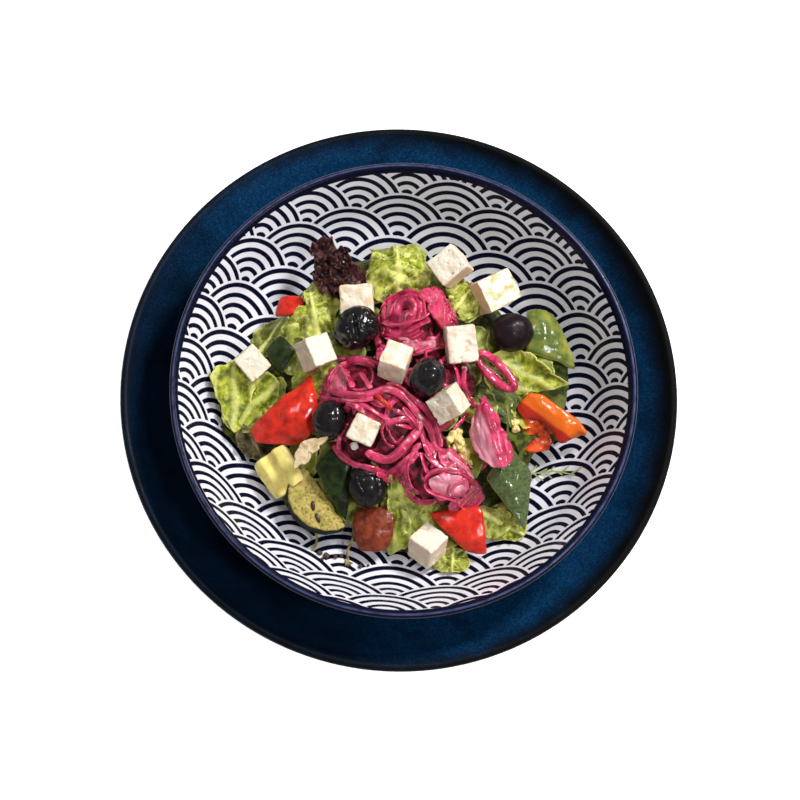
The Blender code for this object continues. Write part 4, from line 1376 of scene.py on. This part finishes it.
def draped(points, lift, seed, under=onion_top):
    """Lay a flat route of (x, y) over the onion heap, in millimetres."""
    placed = []
    for x, y in points:
        height = averaged(under, x * MM, y * MM)
        height += (lift + 1.3 * wave((x, y, 0.0), 9.0, seed)) * MM
        placed.append(Vector((x * MM, y * MM, height)))
    return placed


LOOSE_STEPS = 30
SHORTEST_LOOSE = 14            # a loose strand keeps at least this many points
# Where loose strands lie, as (x, y, spread) in millimetres.
LOOSE_SPOTS = ((2.0, 20.0, 14.0), (-14.0, -18.0, 26.0), (22.0, -42.0, 20.0),
               (14.0, 0.0, 18.0))
# Strands that can be told apart: a flat route in millimetres, how far it lies
# over the heap, how it leans in degrees and how wide it is.
NAMED_STRANDS = (
    (((3, 41), (5, 37), (6, 32), (5, 28)), 2.8, 60, 3.0),
    (((-8, 31), (-7, 35), (-4, 39), (0, 41)), 2.4, 50, 3.0),
    (((-5, 30), (-6, 36), (-4, 39), (0, 40), (3, 37), (3, 32), (0, 29)), 1.8, 70, 3.4),
    (((-14, 27), (-13, 34), (-10, 40), (-4, 43), (2, 43), (6, 40), (8, 34), (8, 28)),
     1.6, 55, 5.2),
    (((-13, 29), (-7, 27), (0, 27), (7, 30), (11, 33)), 2.2, -25, 5.0),
    (((-12, 24), (-6, 23), (1, 24), (7, 27), (12, 30)), 1.8, -20, 5.2),
    (((-10, 21), (-3, 19), (4, 21), (9, 24)), 1.6, -20, 4.6),
    (((-13, 26), (-14, 21), (-12, 15), (-12, 8)), 1.6, 20, 4.8),
    (((5, 19), (10, 18), (13, 20), (20, 20)), 1.6, 0, 3.6),
    (((-12, 17), (-4, 13), (4, 12), (11, 14), (21, 18)), 1.4, -20, 3.8),
    (((6, 12), (11, 15), (16, 18), (22, 19)), 2.2, 0, 3.0),
    (((-34, 2), (-35, -3), (-34, -9), (-29, -12), (-22, -13), (-14, -12), (-7, -9),
      (-1, -10), (5, -14), (10, -19), (16, -24), (19, -30), (21, -36)), 3.2, 10, 4.4),
    (((-7, -6), (-1, -7), (5, -11), (12, -15), (18, -21), (21, -27), (23, -34)),
     3.0, 25, 4.0),
    (((-36, -6), (-35, -1), (-32, 3), (-26, 6), (-20, 6), (-13, 3)), 3.0, 40, 4.2),
    (((-40, -8), (-38, -12), (-33, -14), (-28, -15), (-21, -15), (-12, -14)),
     1.6, 10, 3.8),
    (((-26, -17), (-20, -19), (-13, -22), (-5, -25), (2, -23), (9, -21)), 2.2, 10, 3.6),
    (((-24, -15), (-16, -18), (-8, -22), (0, -25), (8, -26)), 1.2, -20, 3.0),
    (((-5, -23), (-7, -29), (-4, -35), (0, -36)), 1.4, 60, 2.6),
    (((-4, -28), (-2, -32), (1, -34), (4, -30)), 0.8, 50, 2.2),
    (((-14, -39), (-10, -41), (-3, -42), (3, -38), (7, -32), (11, -26), (11, -20)),
     2.8, 15, 5.2),
    (((-31, -36), (-26, -41), (-19, -45), (-11, -47), (-2, -47), (5, -43), (10, -37)),
     2.0, 20, 4.0),
    (((-8, -49), (-2, -50), (3, -47), (8, -42), (12, -37)), 2.2, -10, 3.8),
    (((2, -17), (7, -21), (12, -26), (15, -33), (18, -39)), 2.8, -30, 4.0),
    (((-1, -19), (4, -21), (8, -24), (14, -30), (20, -38)), 2.2, 20, 3.6),
    (((-47, 2), (-39, 7), (-29, 9), (-19, 8), (-10, 5)), 1.4, 10, 3.4),
    (((9, -38), (7, -43), (7, -49), (10, -54), (14, -57)), 1.8, 45, 3.4),
    (((13, -37), (15, -42), (17, -47)), 2.0, -40, 3.2),
    (((5, -46), (6, -53), (11, -58), (17, -60), (23, -59)), 0.4, 30, 3.8),
    (((16, -52), (18, -48), (22, -46), (27, -45), (33, -46), (38, -48), (43, -49),
      (45, -52), (43, -57), (37, -59), (29, -58), (23, -57), (18, -55), (16, -52)),
     3.0, 50, 5.0),
    (((20, -34), (26, -38), (29, -41), (32, -44)), 2.8, 30, 3.6),
    (((15, -37), (21, -42), (26, -44), (33, -45)), 2.4, -20, 4.0),
    (((34, -35), (40, -40), (45, -39), (47, -36)), 1.4, 20, 2.4),
    (((30, 11), (31, 4), (31, -1), (34, -5), (38, -9), (42, -11)), 2.0, 20, 3.0),
    (((28, -25), (30, -21), (33, -17), (35, -13)), 1.6, 30, 2.4),
    (((25, 9), (28, 2), (29, -4), (27, -12)), 1.2, -50, 3.4),
    (((36, 15), (43, 12), (50, 7), (57, 0), (60, -5)), 2.2, 35, 3.2),
)
# Paler strands, cut side up; the one at the front right is a painted highlight along a
# strand's edge.
PALE_STRANDS = (
    (((5, 14), (10, 16), (16, 18)), 2.6, 0, 4.6),
    (((-3, 21), (1, 20), (6, 19)), 2.2, -20, 4.4),
    (((-1, 17), (3, 16), (7, 18)), 3.4, 10, 3.6),
    # A painted highlight.
    (((26, -36), (29, -39), (34, -42), (41, -46)), 4.0, 0, 3.0),
    (((-29, 2), (-26, -3), (-23, -9)), 2.8, -30, 3.6),
    (((-20, 0), (-17, -5), (-14, -9)), 2.4, -30, 3.2),
    (((10, -21), (11, -24), (12, -28)), 2.4, 0, 3.0),
    (((-38, -2), (-34, -7), (-33, -12)), 2.0, -30, 3.6),
)
# Broad pieces of onion: outline as (x, y, lift), how far it stands up, then
# the middle, spacing and depth of its folds, and how pale it is.
NAMED_PETALS = {
    "petal_cup": (((-14, 31, 1), (-12, 36, 1), (-9, 40, 1), (-4, 43, 1), (1, 43, 1),
                   (5, 41, 1), (8, 36, 1), (9, 29, 0), (5, 22, 0), (-3, 18, 0),
                   (-9, 20, 0), (-13, 25, 0)), 1.4, (-1, 34, 8.5, 1.2), 0.0),
    "petal_back": (((10, 48, 1), (13, 50, 2), (16, 49, 3), (19, 45, 3), (22, 40, 2),
                    (25, 34, 2), (27, 30, 1), (23, 28, 1), (19, 26, 2), (15, 29, 2),
                    (12, 32, 1), (10, 38, 0), (5, 41, 0), (5, 45, 0)),
                   3.4, (45, 62, 14.0, 0.7), 0.0),
    "petal_floor": (((18, -51, 0), (23, -48, 0), (29, -47, 0), (36, -49, 0),
                     (36, -54, 0), (28, -57, 0), (21, -56, 0)),
                    1.8, (27, -40, 6.0, 0.5), 0.9),
    "petal_middle": (((22, -35, 0), (27, -34, 1), (32, -36, 1), (36, -39, 0),
                      (38, -43, 0), (34, -46, 0), (28, -44, 0), (23, -41, 0)),
                     2.6, (16, -26, 6.0, 0.8), 0.1),
    "petal_front": (((36, -48, 1), (43, -48, 1), (47, -52, 0), (45, -58, 0),
                     (38, -62, 0), (29, -61, 0), (28, -57, 0), (35, -56, 0),
                     (38, -53, 0)), 3.0, (30, -46, 7.0, 0.6), 0.2),
    "petal_left": (((-37, 1, 0), (-32, 4, 1), (-28, 0, 1), (-26, -6, 0), (-28, -12, 0),
                    (-35, -11, 0)), 2.2, (-20, 6, 7.0, 0.6), 0.25),
}
WHORL_EYE = (-1.0, 34.0)
EYE_REACH = 2.6 * MM
EYE_SHADE_REACH = 2.8 * MM
# The petal at the right: outline as (x, y, lift), tall along its middle.
RIGHT_PETAL = ((42, -6, 3), (44, -11, 1), (48, -15, 1), (51, -21, 0), (55, -26, 0),
               (58, -31, 0), (58, -37, 0), (54, -41, 0), (50, -41, 0), (45, -38, 0),
               (41, -34, 0), (38, -28, 0), (37, -22, 0), (38, -16, 0), (40, -12, 1))
RIGHT_PETAL_MIDDLE = (47.0, -25.0)
RIGHT_PETAL_LEAN = math.radians(-22.0)
RIGHT_PETAL_HALF = 10.0
RIGHT_PETAL_GROOVE = 3.0


class SALAD_OT_onion(Operator):
    """Tangled strands of pickled onion, a petal and a ring"""
    bl_idname = "salad.onion"
    bl_label = "Pickled onion"

    def execute(self, context):
        chosen = looks("onions")
        finish = onion_finish("pickled_onion", chosen, (2.6, 9.0, 1.0))
        petal_finish = onion_finish("onion_layer", chosen, (5.0, 1.2, 1.0))
        veined_finish = onion_finish("onion_veined", chosen, (9.0, 1.2, 1.0))
        self.make_core(chosen)
        self.make_pale_strands(chosen, finish)
        self.make_strands(chosen, finish)
        self.make_petals(petal_finish)
        self.make_right_petal(veined_finish)
        self.make_ring(finish)
        return {"FINISHED"}

    def make_petals(self, finish):
        for index, (name, petal) in enumerate(NAMED_PETALS.items()):
            corners, rise, ripple, pale = petal
            bm = bmesh.new()
            add_leaf(bm, corners, 80.0 + index, soft_onion, rise=rise, ruffle=0.6,
                     crinkle=0.5 + pale, blister=0.0, ripple=ripple)
            paint(bm, "pale", lambda place, normal, pale=pale: pale)
            if name == "petal_cup":
                self.open_eye(bm)
            add_sheet(f"onion_{name}", bm, ONION_LAYER, "onion", None, finish)

    def open_eye(self, bm):
        """A hollow in the middle of the curled-up layers, with painted shade in it."""
        eye = Vector(WHORL_EYE) * MM
        for vert in bm.verts:
            near = math.exp(-((vert.co.to_2d() - eye).length / EYE_REACH) ** 2)
            vert.co.z -= EYE_REACH * near
        paint(bm, "deep", lambda place, normal: 0.95 * math.exp(
            -((place.to_2d() - eye).length / EYE_SHADE_REACH) ** 2))

    def make_core(self, chosen):
        bm = close_copy("pickled_onion", CORE_GRAIN * 0.7, 4)

        def ridges(place, normal):
            crease = noise.ridged_multi_fractal(place / (7.0 * MM), 1.0, 2.0, 2.0,
                                                1.0, 2.0)
            return -CORE_SINK + (0.9 * crease - 2.2) * MM

        raise_relief(bm, ridges)
        # The core shows between the strands; its dark colour is painted shade.
        gap = grainy_finish("onion_gap", chosen.gap, chosen.deep_magenta, 4.0 * MM,
                            0.6, 0.0)
        add_piece("onion_core", bm, "onion", ["pickled_onion"], gap)

    def make_strands(self, chosen, finish):
        bm = bmesh.new()
        dice = random.Random(19)
        for index, (route, lift, lean, wide) in enumerate(NAMED_STRANDS):
            flat = smooth_path([Vector(point) for point in route], 40)
            # Strands at the front left lie over the feta as well.
            over_all = route[0][0] < 0 and all(y < -35 for _, y in route)
            path = draped(flat, lift, index, any_top if over_all else onion_top)
            add_strand(bm, path, wide * MM * dice.uniform(0.82, 0.98),
                       chosen.strand_thickness, math.radians(lean), index)
        self.add_loose_strands(bm, chosen, dice)
        close_strands(bm)
        add_piece("onion_strands", bm, "onion", None, finish)

    def add_loose_strands(self, bm, chosen, dice):
        for index in range(chosen.loose_strands):
            x, y, spread = LOOSE_SPOTS[index % len(LOOSE_SPOTS)]
            reach = spread * math.sqrt(dice.random()) * 0.8
            turn = dice.uniform(0.0, math.tau)
            x += reach * math.cos(turn)
            y += reach * math.sin(turn)
            radius = dice.uniform(5.0, 12.0)
            start = dice.uniform(0.0, math.tau)
            span = math.radians(dice.uniform(110.0, 300.0)) * dice.choice((-1.0, 1.0))
            flat = []
            for step in range(LOOSE_STEPS + 1):
                angle = start + span * step / LOOSE_STEPS
                flat.append((x + radius * math.cos(angle) * 0.8,
                             y + radius * math.sin(angle)))
            kept = [(a, b) for a, b in flat
                    if seen_from_above(ONION_HEAP, a * MM, b * MM) is not None]
            if len(kept) < SHORTEST_LOOSE:
                continue
            path = draped(kept, dice.uniform(-0.8, 1.4), 40.0 + index)
            add_strand(bm, path, chosen.strand_width * dice.uniform(0.5, 0.9),
                       chosen.strand_thickness * dice.uniform(0.8, 1.1),
                       math.radians(dice.uniform(-50.0, 60.0)), index)

    def make_pale_strands(self, chosen, finish):
        bm = bmesh.new()
        for index, (route, lift, lean, wide) in enumerate(PALE_STRANDS):
            flat = smooth_path([Vector(point) for point in route], 30)
            add_strand(bm, draped(flat, lift, 70.0 + index), wide * MM,
                       chosen.strand_thickness, math.radians(lean), 70 + index)
        close_strands(bm)
        paint(bm, "pale", lambda place, normal: blend(-20.0 * MM, -6.0 * MM, place.x)
              * (0.6 + 0.9 * wave(place, 2.2 * MM)))
        add_piece("onion_pale_strands", bm, "onion", None, finish)

    def make_right_petal(self, finish):
        surface = surface_of("onion_petal")
        low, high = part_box("onion_petal")
        seat = low.z + 0.55 * (high.z - low.z)
        middle = Vector((*RIGHT_PETAL_MIDDLE, 0.0)) * MM
        turn = Matrix.Rotation(RIGHT_PETAL_LEAN, 3, "Z")
        bm = bmesh.new()
        add_leaf(bm, RIGHT_PETAL, 91.0,
                 lambda x, y: averaged(lambda a, b: top_of(surface, a, b, seat), x, y),
                 cuts=60, rise=1.0, ruffle=0.5, crinkle=0.5, blister=0.0, rag=0.4)
        lay_uv(uv_layer(bm), bm.verts,
               lambda vert: (turn @ (vert.co - middle)).to_2d() / (16.0 * MM))
        for vert in bm.verts:
            across = (turn @ (vert.co - middle)).x / MM
            groove = math.sin(across / RIGHT_PETAL_GROOVE * math.tau
                              + 3.0 * wave(vert.co, 9.0 * MM))
            crown = max(0.0, 1.0 - (across / RIGHT_PETAL_HALF) ** 2)
            vert.co.z += (0.16 * groove + 3.0 * crown - 2.0) * MM
        paint(bm, "pale", lambda place, normal: blend(
            0.5 * MM, -4.0 * MM, (turn @ (place - middle)).x
            + 1.5 * MM * wave(place, 6.0 * MM)))
        add_sheet("onion_right_petal", bm, ONION_LAYER, "onion", ["onion_petal"],
                  finish)

    def make_ring(self, finish):
        low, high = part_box("onion_ring")
        middle = (low + high) / 2.0
        bm = close_copy("onion_ring", VEG_GRAIN, 8)
        raise_relief(bm, lambda place, normal: 0.45 * MM)

        def round_the_ring(vert):
            away = vert.co - middle
            return math.atan2(away.y, away.x) / math.tau, away.length / (20.0 * MM)

        lay_uv(uv_layer(bm), bm.verts, round_the_ring)
        add_piece("onion_loop", bm, "onion", ["onion_ring"], finish)


# ---- garnish ------------------------------------------------------------
# Routes and outlines in millimetres.
STEMS = (
    ((-35, -70, 30), (-36, -76, 29), (-35, -83, 27), (-38, -89, 26)),
    ((-17, -74, 29), (-17, -80, 28), (-19, -86, 26), (-18, -91, 26)),
)
STEM_SIZE = (1.3 * MM, 1.0 * MM)         # width and thickness
FLARE_SIZE = (0.9 * MM, 0.6 * MM)
FLARE_REACH = 2.6
FLARE_TURNS = (200, 235, 270, 305, 340)  # degrees
HERB_STALK = ((69, -37), (76, -36), (84, -35), (91, -37))
RED_STRIP = ((-12, -12), (-8, -15), (-3, -19))
PALE_RIB = ((-33, -33, 0), (-38, -35, 1), (-43, -36, 1), (-47, -40, 0), (-48, -46, 0),
            (-48, -51, 0), (-45, -48, 0), (-41, -42, 1), (-37, -38, 1))
# Seeds as (x, y, turn in degrees).
SEEDS = ((-38, -66, 10), (-35, -72, 25))
SEED_RADII = (1.1 * MM, 2.7 * MM, 0.6 * MM)
# Crumbs: name, slot, two colours, and spots as (x, y, size) in millimetres.
CRUMBS = (
    ("feta_crumbs", "feta", (0.97, 0.95, 0.88), (0.90, 0.86, 0.74),
     ((-20, -37, 1.9), (34, -8, 1.2), (-58, 4, 1.1), (31, 7, 1.3))),
    ("cream_crumbs", "leaf", (0.94, 0.82, 0.36), (0.84, 0.58, 0.16),
     ((29, -26, 2.6), (31, -24, 2.2), (31, -27, 2.9), (33, -30, 3.0), (35, -33, 2.8),
      (35, -36, 2.8), (27, -29, 1.9), (34, -38, 2.0), (38, -37, 1.8), (30, -31, 1.9),
      (59, -16, 2.4), (60, -19, 2.0), (12, 68, 1.5), (87, -12, 1.0))),
    ("dark_crumbs", "leaf", (0.10, 0.05, 0.02), (0.04, 0.02, 0.01),
     ((-33, -88, 1.3), (-29, -89, 1.6), (-25, -89, 1.2), (-22, -88, 0.9),
      (-31, -91, 0.9), (-12, -93, 1.0), (-8, -92, 0.7))),
)


class SALAD_OT_garnish(Operator):
    """Herb sprig, stems, seeds, crumbs and thin strips"""
    bl_idname = "salad.garnish"
    bl_label = "Garnish"

    def execute(self, context):
        self.make_stems()
        self.make_herb()
        self.make_seeds()
        self.make_crumbs()
        self.make_strips()
        return {"FINISHED"}

    def make_stems(self):
        finish = grainy_finish("stem", (0.36, 0.30, 0.07), (0.14, 0.07, 0.02),
                               2.0 * MM)
        bm = bmesh.new()
        for index, route in enumerate(STEMS):
            path = smooth_path([Vector(point) * MM for point in route], 20)
            add_strand(bm, path, *STEM_SIZE, 0.0, index)
            for turn, degrees in enumerate(FLARE_TURNS):
                angle = math.radians(degrees)
                away = Vector((math.cos(angle), math.sin(angle), 0.15))
                spread = away * FLARE_REACH * MM
                flare = smooth_path([path[-2], path[-1], path[-1] + spread], 8)
                add_strand(bm, flare, *FLARE_SIZE, 0.0, turn)
        close_strands(bm)
        add_piece("stems", bm, "leaf", None, finish)

    def make_herb(self):
        finish = grainy_finish("herb", (0.50, 0.54, 0.20), (0.28, 0.34, 0.09),
                               2.0 * MM)
        bm = bmesh.new()
        dice = random.Random(5)
        stalk = smooth_path([Vector(point) for point in HERB_STALK], 9)
        for index, start in enumerate(stalk):
            side = 1.0 if index % 2 else -1.0
            angle = math.radians(5.0 + side * dice.uniform(25.0, 50.0))
            reach = dice.uniform(3.0, 6.5)
            end = start + Vector((math.cos(angle), math.sin(angle))) * reach
            self.add_sprig(bm, [start, start.lerp(end, 0.5), end], 0.8, index)
        self.add_sprig(bm, stalk, 0.9, 50)
        close_strands(bm)
        add_piece("herb_sprig", bm, "leaf", None, finish)

    def add_sprig(self, bm, flat, width, seed):
        path = []
        for spot in smooth_path(flat, 10):
            x, y = spot * MM
            sway = 0.6 * noise.noise(Vector((x, y, 0.0)) / (4.0 * MM))
            path.append(Vector((x, y, leaf_top(x, y) + (0.8 + sway) * MM)))
        add_strand(bm, path, width * MM, 0.4 * MM, 0.0, seed)

    def make_seeds(self):
        finish = grainy_finish("seed", (0.060, 0.022, 0.008), (0.016, 0.007, 0.004),
                               1.0 * MM, 0.35)
        bm = bmesh.new()
        surface = surface_of("courgette_slice")
        for x, y, turn in SEEDS:
            hit = seen_from_above(surface, x * MM, y * MM)
            if hit is None:
                raise RuntimeError("a seed lies off the courgette")
            made = bmesh.ops.create_icosphere(bm, subdivisions=2, radius=1.0)["verts"]
            bmesh.ops.scale(bm, vec=SEED_RADII, verts=made)
            bmesh.ops.rotate(bm, cent=(0.0, 0.0, 0.0), verts=made,
                             matrix=Matrix.Rotation(math.radians(turn), 3, "Z"))
            bmesh.ops.translate(bm, verts=made, vec=hit + Vector((0.0, 0.0, 0.5 * MM)))
        add_piece("seeds", bm, "courgette", None, finish)

    def make_crumbs(self):
        for name, slot, first, second, spots in CRUMBS:
            bm = bmesh.new()
            for index, (x, y, size) in enumerate(spots):
                made = bmesh.ops.create_icosphere(bm, subdivisions=4, radius=size * MM)
                for vert in made["verts"]:
                    swell = 1.0 + 0.55 * noise.noise(vert.co / (2.2 * MM)
                                                     + Vector((index, 0.0, 0.0)))
                    swell += 0.12 * noise.noise(vert.co / (0.7 * MM))
                    vert.co = vert.co * swell
                height = any_top(x * MM, y * MM) + 0.7 * size * MM
                bmesh.ops.translate(bm, verts=made["verts"],
                                    vec=(x * MM, y * MM, height))
            add_piece(name, bm, slot, None,
                      grainy_finish(name, first, second, 1.0 * MM))

    def make_strips(self):
        red = skinned_finish("thin_red", (0.62, 0.030, 0.014), (0.40, 0.012, 0.008),
                             (0.50, 0.04, 0.02))
        rib = grainy_finish("pale_rib", (0.76, 0.61, 0.36), (0.50, 0.33, 0.16),
                            4.0 * MM, 0.4, 0.2)
        bm = bmesh.new()
        flat = smooth_path([Vector(point) for point in RED_STRIP], 20)
        path = draped(flat, 3.0, 3.0)
        add_strand(bm, path, 2.6 * MM, 1.8 * MM, 0.2, 1)
        close_strands(bm)
        paint(bm, "skin", lambda place, normal: 1.0)
        add_piece("red_strip", bm, "red_pepper", None, red)
        bm = bmesh.new()
        seat = max(any_top(x * MM, y * MM) for x, y, _ in PALE_RIB)
        add_leaf(bm, PALE_RIB, 95.0, lambda x, y: seat - 1.5 * MM, cuts=36,
                 rise=1.4, ruffle=0.2, crinkle=0.4, blister=0.0, rag=0.2)
        add_sheet("pale_rib", bm, 1.6 * MM, "onion", None, rib)


# ---- stage --------------------------------------------------------------
CAMERA_TILT = 0.244
CAMERA_ROLL = 0.094
CAMERA_DISTANCE = 0.6
CAMERA_LENS = 53.75
CAMERA_AIM = Vector((0.57, -10.7, 50.0)) * MM
FLOOR_HALF = 3.0
FLOOR_DROP = 0.3 * MM          # the floor lies this far under the underplate
LAMP_AIM = Vector((0.0, 0.0, 0.04))
# Lamps: name, place and size; the name is also that of the power setting.
LAMPS = (
    ("key", (0.42, 0.46, 0.74), 0.2),
    ("top", (-0.25, 0.30, 0.95), 0.12),
    ("spark", (0.34, -0.20, 0.70), 0.14),
)


class SALAD_OT_stage(Operator):
    """Pale floor, soft light and the camera above the bowl"""
    bl_idname = "salad.stage"
    bl_label = "Stage"

    def execute(self, context):
        chosen = looks("stage")
        scene = context.scene
        bm = bmesh.new()
        bmesh.ops.create_grid(bm, x_segments=2, y_segments=2, size=FLOOR_HALF)
        bmesh.ops.translate(bm, verts=bm.verts[:], vec=(0.0, 0.0, -FLOOR_DROP))
        floor = bpy.data.objects.new("floor", mesh_from("floor", bm))
        scene.collection.objects.link(floor)
        r = Recipe("floor", 0.7)
        tint = r.cloud(r.place(), 0.4, 2.0)
        shade = tuple(channel * 0.985 for channel in chosen.floor)
        r.colour(r.mix(tint, chosen.floor, shade))
        r.shader.inputs["Emission Color"].default_value = (1.0, 1.0, 1.0, 1.0)
        r.shader.inputs["Emission Strength"].default_value = chosen.glow
        floor.data.materials.append(r.finish)

        for name, place, size in LAMPS:
            self.add_light(name, place, size, getattr(chosen, name))
        self.add_camera(scene)

        world = bpy.data.worlds.new("room")
        world.use_nodes = True
        background = world.node_tree.nodes["Background"]
        background.inputs["Color"].default_value = (1.0, 1.0, 1.0, 1.0)
        background.inputs["Strength"].default_value = chosen.fill
        scene.world = world
        scene.view_settings.view_transform = "Standard"
        return {"FINISHED"}

    def add_light(self, name, place, size, power):
        light = bpy.data.lights.new(name, "AREA")
        light.shape = "DISK"
        light.size = size
        light.energy = power
        lamp = bpy.data.objects.new(name, light)
        lamp.location = place
        aim = LAMP_AIM - lamp.location
        lamp.rotation_euler = aim.to_track_quat("-Z", "Y").to_euler()
        bpy.context.scene.collection.objects.link(lamp)

    def add_camera(self, scene):
        away = Vector((0.0, -math.sin(CAMERA_TILT), math.cos(CAMERA_TILT)))
        place = Vector((0.0, 0.0, CAMERA_AIM.z)) + CAMERA_DISTANCE * away
        forward = (CAMERA_AIM - place).normalized()
        level = forward.cross(Vector((0.0, 0.0, 1.0))).normalized()
        upright = level.cross(forward)
        cos_roll = math.cos(CAMERA_ROLL)
        sin_roll = math.sin(CAMERA_ROLL)
        right = level * cos_roll + upright * sin_roll
        up = upright * cos_roll - level * sin_roll
        pose = Matrix((right, up, -forward)).transposed().to_4x4()
        pose.translation = place
        lens = bpy.data.cameras.new("camera")
        lens.sensor_width = 36.0
        lens.lens = CAMERA_LENS
        lens.clip_start = 0.01
        camera = bpy.data.objects.new("camera", lens)
        camera.matrix_world = pose
        scene.collection.objects.link(camera)
        scene.camera = camera


# ---- add-on -------------------------------------------------------------
GROUPS = {"dishes": DishLooks, "leaves": LeafLooks, "onions": OnionLooks,
          "toppings": ToppingLooks, "stage": StageLooks}
OPERATORS = (SALAD_OT_underplate, SALAD_OT_bowl, SALAD_OT_leaf_bed,
             SALAD_OT_lettuce, SALAD_OT_dark_leaf, SALAD_OT_onion,
             SALAD_OT_feta, SALAD_OT_olives, SALAD_OT_peppers,
             SALAD_OT_greens, SALAD_OT_garnish, SALAD_OT_stage)


class SALAD_PT_panel(Panel):
    """Every step of the salad, in order"""
    bl_idname = "SALAD_PT_panel"
    bl_label = "Greek Salad"
    bl_space_type = "VIEW_3D"
    bl_region_type = "UI"
    bl_category = "Salad"

    def draw(self, context):
        for operator in OPERATORS:
            self.layout.operator(operator.bl_idname)
        for group, kind in GROUPS.items():
            box = self.layout.box()
            box.label(text=group.capitalize())
            for name in kind.__annotations__:
                box.prop(looks(group), name)


def register():
    for kind in (*GROUPS.values(), *OPERATORS, SALAD_PT_panel):
        bpy.utils.register_class(kind)
    for group, kind in GROUPS.items():
        setattr(bpy.types.Scene, "salad_" + group, PointerProperty(type=kind))


def unregister():
    for group in GROUPS:
        delattr(bpy.types.Scene, "salad_" + group)
    for kind in reversed((*GROUPS.values(), *OPERATORS, SALAD_PT_panel)):
        bpy.utils.unregister_class(kind)


def main():
    register()
    for operator in OPERATORS:
        step = operator.bl_idname.split(".")[1]
        getattr(bpy.ops.salad, step)()


if __name__ == "__main__":
    main()
